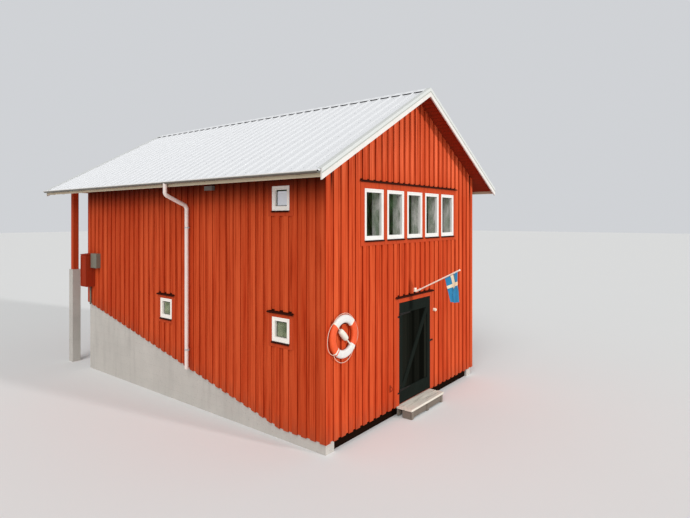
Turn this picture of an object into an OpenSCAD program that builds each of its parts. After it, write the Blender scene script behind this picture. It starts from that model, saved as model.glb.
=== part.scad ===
// Boathouse in timber on a sloping shore. Two storeys, gable to the water, porch roof at the back.
// Millimetres. The front gable faces -Y, the origin is the middle of the base, on the ground.

/* [House] */
// Width over the faces of the side walls
house_w = 5660; // [5400:10:6200]
// Length over the faces of the gable walls
house_l = 8140; // [7900:10:9000]
// Height of a side wall's outer face, from the ground to the roof boards
wall_h = 4900; // [4850:10:5200]
// Thickness of the timber walls
wall_t = 170; // [150:5:220]
// Roof pitch in degrees
roof_pitch = 29.2; // [27:0.1:31]

/* [Foundation] */
// Height of the foundation under the front gable
base_h = 200; // [160:10:300]
// Height of the foundation at the back, where the shore is higher
rear_base_h = 1740; // [1400:10:1800]
// Length of the level foot of the side walls, before it climbs with the shore
level_l = 1040; // [800:10:1400]
// Thickness of the foundation walls
plinth_t = 220; // [180:10:300]
// How far the foundation stands back from the face of the side walls
plinth_in = 20; // [10:5:40]
// How far the foundation stands back from the face of the front gable
plinth_front_in = 70; // [50:5:90]
// Height of the lower floor
floor_h = 225; // [205:5:228]
// Height of the upper floor's walking face
upper_floor_h = 2650; // [2600:10:2750]
// Thickness of the upper floor
upper_floor_t = 200; // [150:10:220]

/* [Roof] */
// From the face of a side wall to the outer face of the fascia
eave_out = 550; // [450:10:650]
// From the front gable to the outer face of the verge board
verge_front_out = 398; // [300:1:500]
// From the rear gable to the outer face of the verge board, over the porch
verge_rear_out = 1215; // [1100:5:1300]
// Thickness of the roof boards with their battens
boards_t = 50; // [40:5:70]
// Height of the ribs in the steel sheet
rib_h = 20; // [15:1:30]
// Distance from rib to rib
rib_pitch = 275; // [200:5:300]
// Width of a rib at its foot
rib_foot = 70; // [50:5:80]
// Width of a rib at its top
rib_top = 34; // [20:2:40]
// Thickness of the folded sheet
sheet_t = 3; // [2:0.5:4]
// How far the sheet runs past the fascia, measured level
sheet_drip = 40; // [30:5:45]
// Length of each leg of the ridge cap
ridge_leg = 150; // [120:5:200]
// Thickness of the verge boards
verge_t = 28; // [22:1:34]
// Height of the verge boards, square to the slope
verge_h = 152; // [130:2:180]
// Height of the folded strip over the verge boards, square to the slope
verge_strip_h = 72; // [50:2:90]
// Width of the folded strip on top of the roof
verge_strip_w = 100; // [80:5:130]
// Thickness of the fascia boards
fascia_t = 25; // [20:1:30]
// Height of the fascia boards at their outer face
fascia_h = 108; // [95:1:130]
// Depth of the rafters, square to the slope
rafter_h = 120; // [100:5:150]
// Width of the rafters
rafter_w = 45; // [40:5:60]
// Distance from rafter to rafter
rafter_pitch = 700; // [600:10:800]

/* [Gutters and downpipes] */
// Outer radius of the half round gutters
gutter_r = 50; // [45:1:60]
// Thickness of the gutter
gutter_t = 3; // [2:0.5:4]
// Width of the straps that carry the gutters
strap_w = 25; // [20:1:40]
// Distance between the straps
strap_pitch = 800; // [600:10:1000]
// Outer radius of the downpipes
pipe_r = 40; // [35:1:44]
// Thickness of the downpipes at their open end
pipe_t = 3; // [2:0.5:4]
// Distance of the downpipes behind the front gable
pipe_from_front = 3690; // [3000:10:4200]
// From the face of the wall to the middle of the downpipe
pipe_off = 102; // [90:1:130]
// Turn of the two bends under the gutter, in degrees from upright
swan_turn = 66; // [55:1:70]
// Radius of the two bends
bend_r = 90; // [70:5:110]
// Length of pipe between the gutter and the first bend
swan_drop = 150; // [100:5:200]
// Height of the downpipe's open end above the foot of the wall
pipe_foot = 20; // [10:5:60]
// Distance of the lower clip above the downpipe's open end
clip_up = 389; // [200:1:800]
// Distance of the upper clip under the bends
clip_down = 395; // [200:1:800]

/* [Windows] */
// Width of a window in the front gable
win_w = 610; // [560:5:640]
// Height of a window in the front gable
win_h = 950; // [850:5:1000]
// Distance from window to window in the front gable
win_pitch = 735; // [700:5:760]
// Height of the lower edge of the gable windows
win_z = 3506; // [3450:2:3560]
// Width of the small windows in the side walls
small_w = 430; // [380:5:480]
// Height of the small windows
small_h = 440; // [400:5:480]
// Middle of the lower small windows above the ground
small_low_z = 1942; // [1900:2:2000]
// Middle of the upper small window above the ground
small_up_z = 4264; // [4200:2:4300]
// First pair of small windows, distance of their middle behind the front gable
small_front = 1020; // [900:10:1200]
// Second small window, distance of its middle behind the front gable
small_back = 4556; // [4400:10:5200]
// Width of the frame's face
frame_face = 25; // [20:1:32]
// Width of the sash's face
sash_face = 40; // [34:1:48]
// Depth of the window frames
frame_d = 90; // [80:5:110]
// How far the glass lies behind the face of the frame
glass_back = 52; // [40:1:60]
// Thickness of the glass
glass_t = 6; // [4:1:8]
// Thickness of the casing boards
casing_t = 28; // [24:1:34]
// Width of the casing beside the gable windows
casing_side = 128; // [100:2:150]
// Width of the casing above the gable windows
casing_head = 136; // [100:2:150]
// Width of the casing below the gable windows
casing_foot = 92; // [70:2:110]
// Width of the casing round the small windows
small_casing = 90; // [70:2:100]
// How far the folded strips over windows and doors stand out past the casing
strip_out = 32; // [20:1:45]
// How far the strips run past the casing at each end
strip_end = 20; // [10:2:30]

/* [Door] */
// Width of the door leaf
leaf_w = 1250; // [1100:10:1300]
// Height of the door leaf
leaf_h = 1995; // [1900:5:2020]
// Sideways place of the door's middle
door_x = 15; // [-60:5:60]
// Gap round the leaf
leaf_gap = 6; // [5:0.5:8]
// Gap under the leaf, above the threshold
leaf_sill_gap = 8; // [6:1:12]
// Thickness of the leaf's upright boards
leaf_board_t = 22; // [18:1:28]
// Width of the leaf's stiles
stile_w = 120; // [90:5:140]
// Height of the leaf's top rail
top_rail_h = 215; // [150:5:240]
// Height of the leaf's bottom rail
bottom_rail_h = 270; // [200:5:300]
// Width of the diagonal brace
brace_w = 110; // [80:5:130]
// Width of the casing round the door
door_casing_w = 110; // [90:2:130]
// Thickness of the door frame beside the leaf
jamb_t = 40; // [30:2:50]
// Height of the lower hinge above the ground
hinge_low_z = 470; // [400:5:700]
// Height of the upper hinge above the ground
hinge_high_z = 1980; // [1800:5:2120]
// Radius of the hinge pins
pin_r = 6; // [5:0.5:8]
// Clearance round the hinge pins
pin_gap = 0.3; // [0.2:0.1:0.5]
// Thickness of the hinge straps
iron_t = 4; // [3:0.5:6]
// Length of the hinge straps on the leaf
band_l = 420; // [300:10:500]
// Height of the hasp above the ground
hasp_z = 1269; // [1150:1:1350]

/* [Door step] */
// How far the step reaches past the leaf at each end
step_over = 39; // [20:1:120]
// Sideways place of the step's middle from the door's
step_off = -31; // [-80:1:80]
// Depth of the step, from the wall's face
step_d = 357; // [300:1:450]
// Height of the step's top
step_h = 210; // [204:1:220]
// Thickness of the step's planks
plank_t = 45; // [35:1:55]

/* [Rear door] */
// Width of the door to the upper floor
rear_door_w = 900; // [800:10:1000]
// Height of the door to the upper floor
rear_door_h = 1950; // [1850:10:2000]

/* [Porch] */
// Width of the square porch posts
post_w = 140; // [120:5:180]
// Distance of the posts' middle behind the rear gable
post_out = 972; // [800:2:1050]
// Height of the porch beams
beam_h = 140; // [120:5:160]
// Width of the square piers under the posts
pier_w = 210; // [190:5:260]
// Height of the piers
pier_h = 2520; // [2400:10:2600]

/* [Lifebuoy] */
// Outer diameter of the lifebuoy
buoy_d = 738; // [700:2:780]
// Width of the lifebuoy's section, from its outer to its inner edge
buoy_w = 140; // [120:2:150]
// Depth of the lifebuoy's flat section
buoy_t = 76; // [60:2:90]
// Distance of the lifebuoy's middle from the gable's left corner
buoy_in = 398; // [390:2:560]
// Height of the lifebuoy's middle
buoy_z = 1912; // [1800:2:2000]
// Radius of the grab line
line_r = 5; // [4:0.5:7]
// How far the left and lower loops of the grab line hang out from the ring
loop_slack = 72; // [50:1:80]
// How far the right and upper loops stand out from the ring
loop_tight = 18; // [12:1:30]
// Largest radius of the float
float_r = 55; // [48:1:58]
// Length of the float
float_l = 250; // [200:5:260]
// How far the float's middle lies up and to the left of the ring's
float_off = 50; // [30:2:56]

/* [Flag] */
// Length of the flagpole
pole_l = 1090; // [900:10:1200]
// Radius of the flagpole
pole_r = 14; // [11:1:18]
// Rise of the flagpole in degrees above level
pole_rise = 27; // [20:1:40]
// Height of the flagpole's foot above the door casing
bracket_up = 58; // [56:2:110]
// Sideways place of the flagpole from the door's middle
pole_off = 15; // [-100:5:100]
// Width of the flag along the pole
flag_w = 345; // [280:5:400]
// Length of the flag as it hangs
flag_drop = 545; // [450:5:550]
// Thickness of the space that the flag's folds fill
flag_t = 80; // [60:5:120]

/* [Meter cabinet] */
// Width of the cabinet along the wall
cabinet_w = 325; // [300:5:360]
// Height of the cabinet
cabinet_h = 820; // [700:10:900]
// Depth of the cabinet from the wall's face
cabinet_d = 220; // [180:5:260]
// Height of the cabinet's underside
cabinet_z = 2160; // [2100:10:2300]
// Width of the meter box beside the cabinet
meter_w = 308; // [250:2:340]
// Height of the meter box
meter_h = 365; // [300:5:400]
// Depth of the meter box from the wall's face
meter_d = 125; // [90:5:160]
// Height of the meter box's underside
meter_z = 2650; // [2600:10:2800]

/* [Lamps] */
// Length of the lamp under the left eave
eaves_lamp_l = 240; // [200:10:320]
// Distance of its middle behind the front gable
eaves_lamp_back = 3014; // [2600:2:3200]
// Height of its underside
eaves_lamp_z = 4470; // [4400:5:4500]
// Distance of the round lamp's middle from the door casing
door_lamp_off = 94; // [60:2:140]
// Height of its middle
door_lamp_z = 1902; // [1800:2:2000]
// Radius of the round lamp
door_lamp_r = 34; // [28:1:40]

/* [Hidden] */

$fn = 48;
// Clear distance between curved or sloping faces that rest on each other
touch = 0.3;
// Faces of the walls
wall_x = house_w / 2;
wall_in_x = wall_x - wall_t;
front_y = -house_l / 2;
rear_y = house_l / 2;
front_in_y = front_y + wall_t;
rear_in_y = rear_y - wall_t;
// Faces of the foundation
plinth_x = wall_x - plinth_in;
plinth_in_x = plinth_x - plinth_t;
plinth_front_y = front_y + plinth_front_in;
plinth_rear_y = rear_y - plinth_in;
// The upright boards that cover the walls stand this far proud of their faces
clad_t = 22;
clad_y = front_y - clad_t;
// Roof planes: depth 0 is the underside of the roof boards
roof_apex = wall_h + wall_x * tan(roof_pitch);
sheet_z = boards_t + touch;
sheet_top = sheet_z + sheet_t + rib_h + touch;
verge_front_y = front_y - verge_front_out;
verge_rear_y = rear_y + verge_rear_out;
roof_front_y = verge_front_y + verge_t;
roof_rear_y = verge_rear_y - verge_t;
roof_l = roof_rear_y - roof_front_y;
fascia_x = wall_x + eave_out;
fascia_in_x = fascia_x - fascia_t;
fascia_z = roof_z(fascia_x, boards_t) - fascia_h;
verge_end_x = fascia_x + 10;
sheet_l = (fascia_x + sheet_drip - boards_t * sin(roof_pitch)) / cos(roof_pitch);
// Gutter
strap_t = 3;
gutter_x = fascia_x + strap_t + gutter_r;
gutter_z = roof_z(fascia_x + strap_t, boards_t) - 5;
pipe_y = front_y + pipe_from_front;
// Windows of the gable
win_n = 5;
row_w = (win_n - 1) * win_pitch + win_w;
win_face_y = front_y - casing_t;
// Door
leaf_x0 = door_x - leaf_w / 2;
leaf_x1 = door_x + leaf_w / 2;
sill_z = floor_h;
leaf_z = sill_z + leaf_sill_gap;
leaf_top = leaf_z + leaf_h;
door_face_y = front_y - casing_t;
leaf_back_y = front_y + leaf_board_t;
stop_t = 20;
stop_gap = 5;
door_open_w = leaf_w + 2 * leaf_gap;
hole_w = door_open_w + 2 * jamb_t;
hole_top = leaf_top + leaf_gap + jamb_t;
frame_back_y = front_y + 120;
door_casing_top = leaf_top + leaf_gap + door_casing_w;
hinge_z = [hinge_low_z, hinge_high_z];
knuckle_r = pin_r + iron_t;
knuckle_h = 50;
pin_x = leaf_x0 - leaf_gap / 2;
pin_y = door_face_y - knuckle_r - 2;
// Folded strips: thickness, and height of the leg that lies against the wall
fold_t = 2;
strip_leg = 40;
// Step
step_w = leaf_w + 2 * step_over;
step_x = door_x + step_off;
// Porch
post_x = wall_x - post_w / 2;
post_y = rear_y + post_out;
beam_z = roof_z(wall_x, -rafter_h - touch) - beam_h;
// Lifebuoy
buoy_x = buoy_in - wall_x;
buoy_ring_r = (buoy_d - buoy_w) / 2;
buoy_in_r = buoy_d / 2 - buoy_w;
buoy_y = clad_y - buoy_t / 2 - 2;
float_y = clad_y - float_r - 2;
peg_r = 8;
// Flagpole
pole_x = door_x + pole_off;
bracket_z = door_casing_top + bracket_up;
socket_r = pole_r + 5;
socket_l = 110;
pole_y = clad_y - 20;

// Height of the roof above the place x, at a depth square to the slope
function roof_z(x, d) = roof_apex + d / cos(roof_pitch) - abs(x) * tan(roof_pitch);
// Height of the foot of the side walls at the place y
function foot_z(y) = y < front_y + level_l ? base_h
    : base_h + (y - front_y - level_l) * (rear_base_h - base_h) / (house_l - level_l);

// Outline in X and Z, run along Y
module along_y(y0, y1) {
    translate([0, y1, 0]) rotate([90, 0, 0]) linear_extrude(y1 - y0) children();
}
// Outline in Y and Z, run along X
module along_x(x0, x1) {
    translate([x0, 0, 0]) rotate([90, 0, 90]) linear_extrude(x1 - x0) children();
}
// Block from one corner to the other
module block(a, b) {
    translate(a) cube(b - a);
}
// The same piece on both sides of the house
module both_sides() {
    children();
    mirror([1, 0, 0]) children();
}

// Foot line of the side walls and their foundation, from the front to the back
module below_foot(y0, y1) {
    polygon([[y0, 0], [y1, 0], [y1, foot_z(y1)], [front_y + level_l, base_h], [y0, base_h]]);
}

// Foundation
module side_foundation() {
    along_x(plinth_in_x, plinth_x) below_foot(front_y + plinth_in, plinth_rear_y);
}
module foundation_left() color("lightgray") mirror([1, 0, 0]) side_foundation();
module foundation_right() color("lightgray") side_foundation();
module foundation_front() color("dimgray") {
    block([-plinth_in_x, plinth_front_y, 0], [plinth_in_x, plinth_front_y + plinth_t, base_h]);
}
module foundation_rear() color("lightgray") {
    block([-plinth_in_x, plinth_rear_y - plinth_t, 0], [plinth_in_x, plinth_rear_y, rear_base_h]);
}

// Floors
module floor_lower() color("gray") {
    block([-plinth_in_x, plinth_front_y + plinth_t, 0], [plinth_in_x, plinth_rear_y - plinth_t, floor_h]);
}
module floor_upper() color("burlywood") {
    block([-wall_in_x, front_in_y, upper_floor_h - upper_floor_t], [wall_in_x, rear_in_y, upper_floor_h]);
}

// Middle of each rafter pair: those between the gables, then those over the porch
rafter_n = floor((house_l - 2 * wall_t - rafter_w) / rafter_pitch / 2);
rafter_ys = [for (i = [-rafter_n : rafter_n]) i * rafter_pitch];
porch_rafter_ys = [rear_y + (verge_rear_out - verge_t) / 2, roof_rear_y - rafter_w / 2];
// Outline of one rafter pair, with the tails cut level behind the fascia
tail_z = fascia_z + 10;
tail_x = (roof_apex - rafter_h / cos(roof_pitch) - tail_z) / tan(roof_pitch);
module rafter_outline() {
    top_z = roof_z(fascia_in_x, 0);
    polygon([[0, roof_apex], [fascia_in_x, top_z], [fascia_in_x, tail_z], [tail_x, tail_z], [0, roof_z(0, -rafter_h)],
        [-tail_x, tail_z], [-fascia_in_x, tail_z], [-fascia_in_x, top_z]]);
}
module rafters() color("saddlebrown") {
    for (y = concat(rafter_ys, porch_rafter_ys))
        along_y(y - rafter_w / 2, y + rafter_w / 2) rafter_outline();
}

// Side wall with the pockets for the rafters and the holes for its three windows
small_windows = [[front_y + small_front, small_low_z], [front_y + small_front, small_up_z],
    [front_y + small_back, small_low_z]];
module side_wall() {
    difference() {
        intersection() {
            along_x(wall_in_x, wall_x) polygon([[front_y, base_h], [front_y + level_l, base_h],
                [rear_y, rear_base_h], [rear_y, roof_apex], [front_y, roof_apex]]);
            along_y(front_y - 1, rear_y + 1) polygon([[wall_in_x, 0], [wall_x, 0], [wall_x, wall_h],
                [wall_in_x, roof_z(wall_in_x, 0)]]);
        }
        for (w = small_windows)
            block([wall_in_x - 1, w[0] - small_w / 2, w[1] - small_h / 2],
                [wall_x + 1, w[0] + small_w / 2, w[1] + small_h / 2]);
        for (y = rafter_ys)
            along_y(y - rafter_w / 2 - 1, y + rafter_w / 2 + 1)
                polygon([[wall_in_x - 1, roof_z(wall_in_x - 1, -rafter_h - touch)],
                    [wall_x + 1, roof_z(wall_x + 1, -rafter_h - touch)],
                    [wall_x + 1, roof_z(wall_x + 1, 10)], [wall_in_x - 1, roof_z(wall_in_x - 1, 10)]]);
    }
}
module wall_left() color("firebrick") mirror([1, 0, 0]) side_wall();
module wall_right() color("firebrick") side_wall();

// Gable walls stand between the side walls
module gable_outline(z0) {
    polygon([[-wall_in_x, z0], [wall_in_x, z0], [wall_in_x, roof_z(wall_in_x, 0)], [0, roof_apex],
        [-wall_in_x, roof_z(wall_in_x, 0)]]);
}
module wall_front_left() color("firebrick") {
    block([-wall_in_x, front_y, base_h], [door_x - hole_w / 2, front_in_y, hole_top]);
}
module wall_front_right() color("firebrick") {
    block([door_x + hole_w / 2, front_y, base_h], [wall_in_x, front_in_y, hole_top]);
}
module wall_front_gable() color("firebrick") difference() {
    along_y(front_y, front_in_y) gable_outline(hole_top);
    for (i = [0 : win_n - 1])
        block([window_x(i) - win_w / 2, front_y - 1, win_z], [window_x(i) + win_w / 2, front_in_y + 1, win_z + win_h]);
}
module wall_rear() color("firebrick") difference() {
    along_y(rear_in_y, rear_y) gable_outline(rear_base_h);
    block([-rear_door_w / 2, rear_in_y - 1, upper_floor_h], [rear_door_w / 2, rear_y + 1, upper_floor_h + rear_door_h]);
}

// Roof boards: one sloping slab on each side
module roof_slab() {
    along_y(roof_front_y, roof_rear_y) polygon([[0, roof_apex], [0, roof_z(0, boards_t)],
        [fascia_in_x, roof_z(fascia_in_x, boards_t)], [fascia_in_x, roof_z(fascia_in_x, 0)]]);
}
module roof_boards_left() color("brown") mirror([1, 0, 0]) roof_slab();
module roof_boards_right() color("brown") roof_slab();

// Steel sheet with trapezium ribs: the folded line and the same line one thickness lower
rib_n = floor((roof_l - rib_foot) / rib_pitch) + 1;
rib_y0 = (roof_front_y + roof_rear_y) / 2 - (rib_n - 1) * rib_pitch / 2;
fold_line = concat([[roof_front_y, 0]], [for (i = [0 : rib_n - 1]) each
    [for (p = [[-rib_foot / 2, 0], [-rib_top / 2, rib_h], [rib_top / 2, rib_h], [rib_foot / 2, 0]])
        [rib_y0 + i * rib_pitch + p[0], p[1]]]], [[roof_rear_y, 0]]);
fold_n = len(fold_line);
module roof_sheet() {
    translate([0, 0, roof_apex]) rotate([0, roof_pitch, 0]) along_x(0, sheet_l)
        polygon(concat([for (p = fold_line) p + [0, sheet_z + sheet_t]],
            [for (i = [1 : fold_n]) fold_line[fold_n - i] + [0, sheet_z]]));
}
module roof_sheet_left() color("gainsboro") mirror([1, 0, 0]) roof_sheet();
module roof_sheet_right() color("gainsboro") roof_sheet();

// Bent strip over both slopes between two depths, with upright ends
module bent_strip(leg, d0, d1) {
    low = leg * cos(roof_pitch);
    polygon([[-low, roof_z(low, d1)], [0, roof_z(0, d1)], [low, roof_z(low, d1)],
        [low, roof_z(low, d0)], [0, roof_z(0, d0)], [-low, roof_z(low, d0)]]);
}
module ridge_cap() color("gainsboro") {
    along_y(verge_front_y + verge_strip_w, verge_rear_y - verge_strip_w)
        bent_strip(ridge_leg, sheet_top, sheet_top + sheet_t);
}
// Boards up the slope at both ends of the roof, and the folded strips over them
verge_leg = verge_end_x / cos(roof_pitch);
module verge_boards() color("whitesmoke") {
    along_y(verge_front_y, roof_front_y) bent_strip(verge_leg, sheet_top - verge_h, sheet_top);
    along_y(roof_rear_y, verge_rear_y) bent_strip(verge_leg, sheet_top - verge_h, sheet_top);
}
module verge_strip(face_y, side) {
    y_in = face_y + side * verge_strip_w;
    y_out = face_y - side * sheet_t;
    along_y(min(y_in, y_out), max(y_in, y_out)) bent_strip(verge_leg, sheet_top, sheet_top + sheet_t);
    along_y(min(face_y, y_out), max(face_y, y_out))
        bent_strip(verge_leg, sheet_top + sheet_t - verge_strip_h, sheet_top + sheet_t);
}
module verge_strips() color("white") {
    verge_strip(verge_front_y, 1);
    verge_strip(verge_rear_y, -1);
}
module fascia_boards() color("antiquewhite") both_sides() {
    along_y(roof_front_y, roof_rear_y) polygon([[fascia_in_x, fascia_z], [fascia_x, fascia_z],
        [fascia_x, roof_z(fascia_x, boards_t)], [fascia_in_x, roof_z(fascia_in_x, boards_t)]]);
}

// Half round gutters in straps on the fascia
strap_n = floor((roof_l - 200) / strap_pitch);
// The end caps stay below the edge of the steel sheet
cap_z = roof_z(fascia_x + sheet_drip, boards_t) - 3;
module half_ring(r1, r0, y0, y1, top_z = gutter_z) {
    difference() {
        translate([gutter_x, y1, gutter_z]) rotate([90, 0, 0]) cylinder(r = r1, h = y1 - y0);
        if (r0 > 0) translate([gutter_x, y1 + 1, gutter_z]) rotate([90, 0, 0]) cylinder(r = r0, h = y1 - y0 + 2);
        block([gutter_x - r1 - 1, y0 - 1, top_z], [gutter_x + r1 + 1, y1 + 1, gutter_z + r1 + 1]);
    }
}
module gutter() {
    half_ring(gutter_r, gutter_r - gutter_t, roof_front_y, roof_rear_y);
    half_ring(gutter_r - 1, 0, roof_front_y, roof_front_y + gutter_t, cap_z);
    half_ring(gutter_r - 1, 0, roof_rear_y - gutter_t, roof_rear_y, cap_z);
    for (i = [0 : strap_n]) {
        y = (roof_front_y + roof_rear_y) / 2 + (i - strap_n / 2) * strap_pitch;
        half_ring(gutter_r + strap_t, gutter_r - 1, y - strap_w / 2, y + strap_w / 2);
        block([fascia_x, y - strap_w / 2, gutter_z - gutter_r], [fascia_x + strap_t, y + strap_w / 2, gutter_z]);
    }
}
module gutters() color("white") both_sides() gutter();

// Downpipe: a swan neck from the gutter back to the wall, then straight down
neck_off = gutter_x - wall_x - pipe_off;
neck_run = (neck_off - 2 * bend_r * (1 - cos(swan_turn))) / sin(swan_turn);
neck_top_z = gutter_z - gutter_r - swan_drop;
neck_h = 2 * bend_r * sin(swan_turn) + neck_run * cos(swan_turn);
pipe_low_z = foot_z(pipe_y) + pipe_foot;
pipe_top_z = neck_top_z - neck_h;
pipe_open_l = 80;
bend_lip = 1.5;
bend_in = 4;
// Bend from straight down towards +X; it slips over the ends of the straight lengths
module bend() {
    translate([bend_r, 0, 0]) rotate([-90, 0, 180]) rotate_extrude(angle = swan_turn)
        translate([bend_r, 0]) circle(r = pipe_r + bend_lip);
}
module left_downpipe() {
    bend_end = [bend_r * (1 - cos(swan_turn)), 0, -bend_r * sin(swan_turn)];
    run = neck_run * [sin(swan_turn), 0, -cos(swan_turn)];
    difference() {
        union() {
            translate([-gutter_x, pipe_y, neck_top_z]) {
                translate([0, 0, -bend_in]) cylinder(r = pipe_r, h = swan_drop + gutter_r / 2 + bend_in);
                bend();
                translate(bend_end) rotate([0, -swan_turn, 0]) translate([0, 0, -neck_run - bend_in])
                    cylinder(r = pipe_r, h = neck_run + 2 * bend_in);
                translate(2 * bend_end + run) rotate([0, 180, 0]) bend();
            }
            translate([-wall_x - pipe_off, pipe_y, pipe_low_z])
                cylinder(r = pipe_r, h = pipe_top_z - pipe_low_z + bend_in);
        }
        translate([-wall_x - pipe_off, pipe_y, pipe_low_z - 1]) cylinder(r = pipe_r - pipe_t, h = pipe_open_l + 1);
        translate([-gutter_x, pipe_y + 100, gutter_z]) rotate([90, 0, 0]) cylinder(r = gutter_r + touch, h = 200);
    }
}
module downpipes() color("white") both_sides() left_downpipe();

// Clip: a ring round the pipe, a pin into the wall and a lug for its screw
clip_t = 4;
clip_h = 26;
clip_pin_r = 6;
lug_l = 45;
lug_t = 12;
module clip(z) {
    translate([-wall_x - pipe_off, pipe_y, z]) {
        difference() {
            union() {
                cylinder(r = pipe_r + clip_t, h = clip_h);
                translate([-lug_t / 2, -pipe_r - lug_l, 0]) cube([lug_t, lug_l, clip_h]);
                translate([0, 0, clip_h / 2]) rotate([0, 90, 0]) cylinder(r = clip_pin_r, h = pipe_off);
            }
            translate([0, 0, -1]) cylinder(r = pipe_r + touch, h = clip_h + 2);
        }
    }
}
module downpipe_clips() color("silver") both_sides() {
    for (z = [pipe_low_z + clip_up, pipe_top_z - clip_down]) clip(z);
}

// Porch at the back
module porch_piers() color("lightgray") both_sides() {
    block([post_x - pier_w / 2, post_y - pier_w / 2, 0], [post_x + pier_w / 2, post_y + pier_w / 2, pier_h]);
}
module porch_posts() color("firebrick") both_sides() {
    block([post_x - post_w / 2, post_y - post_w / 2, pier_h], [post_x + post_w / 2, post_y + post_w / 2, beam_z]);
}
module porch_beams() color("firebrick") {
    both_sides() along_y(rear_y, roof_rear_y) polygon([[wall_x - post_w, beam_z], [wall_x, beam_z],
        [wall_x, roof_z(wall_x, -rafter_h - touch)], [wall_x - post_w, roof_z(wall_x - post_w, -rafter_h - touch)]]);
    block([post_w - wall_x - 1, post_y - rafter_w / 2, beam_z],
        [wall_x - post_w + 1, post_y + rafter_w / 2, beam_z + beam_h]);
}

// Windows
function window_x(i) = (i - (win_n - 1) / 2) * win_pitch;
// Rectangle with a hole, in X and Z about its lower left corner at the origin
module ring_outline(w, h, left, right, foot, head) {
    difference() {
        square([w, h]);
        translate([left, foot]) square([w - left - right, h - foot - head]);
    }
}
// Window with its outer face at y = 0, its lower left corner at the origin and its room side at +Y
sash_step = 5;
sash_foot = sash_face + 20;
module window_frame(w, h) {
    along_y(0, frame_d) ring_outline(w, h, frame_face, frame_face, frame_face, frame_face);
    translate([frame_face, 0, frame_face]) along_y(sash_step, frame_d - 3 * sash_step)
        ring_outline(w - 2 * frame_face, h - 2 * frame_face, sash_face, sash_face, sash_foot, sash_face);
}
module window_pane(w, h) {
    side = frame_face + sash_face;
    block([side, glass_back, frame_face + sash_foot], [w - side, glass_back + glass_t, h - side]);
}
module in_gable() {
    for (i = [0 : win_n - 1]) translate([window_x(i) - win_w / 2, win_face_y, win_z]) children();
}
// On the side walls the window's outer face looks to -X or +X
module in_sides(list) {
    both_sides() for (w = list)
        translate([-wall_x - casing_t, w[0] + small_w / 2, w[1] - small_h / 2]) rotate([0, 0, -90]) children();
}
module gable_window_frames() color("white") in_gable() window_frame(win_w, win_h);
module gable_window_glass() color("darkslategray") in_gable() window_pane(win_w, win_h);
module side_window_frames() color("white") in_sides(small_windows) window_frame(small_w, small_h);
module side_window_glass() color("darkslategray") in_sides(small_windows) window_pane(small_w, small_h);

// Casing: boards round the five gable windows
casing_x = row_w / 2 + casing_side;
casing_top = win_z + win_h + casing_head;
module gable_window_casing() color("firebrick") difference() {
    block([-casing_x, win_face_y, win_z - casing_foot], [casing_x, front_y, casing_top]);
    for (i = [0 : win_n - 1])
        block([window_x(i) - win_w / 2, win_face_y - 1, win_z], [window_x(i) + win_w / 2, front_y + 1, win_z + win_h]);
}
module side_window_casings() color("firebrick") in_sides(small_windows) {
    translate([-small_casing, 0, -small_casing]) along_y(0, casing_t)
        ring_outline(small_w + 2 * small_casing, small_h + 2 * small_casing, small_casing, small_casing,
            small_casing, small_casing);
}

// Folded strip that throws the rain off a casing: it slopes out from the wall and turns down
strip_fall = 14;
strip_lip = 22;
module head_strip(w) {
    out = casing_t + strip_out;
    along_x(-w / 2, w / 2) polygon([[0, 0], [0, strip_leg], [-fold_t, strip_leg], [-fold_t, strip_fall],
        [-out, fold_t], [-out, -strip_lip], [-out + fold_t, -strip_lip], [-out + fold_t, 0]]);
}
module head_strips() color("black") {
    translate([0, front_y, casing_top]) head_strip(2 * casing_x + 2 * strip_end);
    translate([door_x, front_y, door_casing_top]) head_strip(door_open_w + 2 * door_casing_w + 2 * strip_end);
    both_sides() for (w = [small_windows[0], small_windows[2]])
        translate([-wall_x, w[0], w[1] + small_h / 2 + small_casing]) rotate([0, 0, -90])
            head_strip(small_w + 2 * small_casing + 2 * strip_end);
}
// Sill under a window: a strip with a leg on the frame's face, which slopes out and turns down
sill_out = 26;
sill_leg = 6;
sill_lip = 24;
sill_end = 8;
module sill_strip(w) {
    fall = 5;
    along_x(-sill_end, w + sill_end) polygon([[0, sill_leg], [0, -fold_t], [fold_t - sill_out, -fall - fold_t],
        [fold_t - sill_out, -sill_lip], [-sill_out, -sill_lip], [-sill_out, -fall], [-fold_t, 0], [-fold_t, sill_leg]]);
}
module window_sills() color("black") {
    in_gable() sill_strip(win_w);
    in_sides(small_windows) sill_strip(small_w);
}

// Door frame with its stop and threshold
module door_frame() color("maroon") {
    frame_x0 = door_x - hole_w / 2;
    frame_x1 = door_x + hole_w / 2;
    open_x0 = door_x - door_open_w / 2;
    open_x1 = door_x + door_open_w / 2;
    open_top = hole_top - jamb_t;
    stop_y = leaf_back_y + stop_gap;
    difference() {
        block([frame_x0, front_y, base_h], [frame_x1, frame_back_y, hole_top]);
        block([open_x0, front_y - 1, sill_z], [open_x1, stop_y, open_top]);
        block([open_x0 + stop_t, front_y - 1, sill_z], [open_x1 - stop_t, frame_back_y + 1, open_top - stop_t]);
    }
}
// The casing stands on the step
module door_casing() color("firebrick") {
    translate([door_x - door_open_w / 2 - door_casing_w, door_face_y, step_h]) along_y(0, casing_t)
        ring_outline(door_open_w + 2 * door_casing_w, door_casing_top - step_h, door_casing_w, door_casing_w,
            -1, door_casing_w);
}

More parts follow.
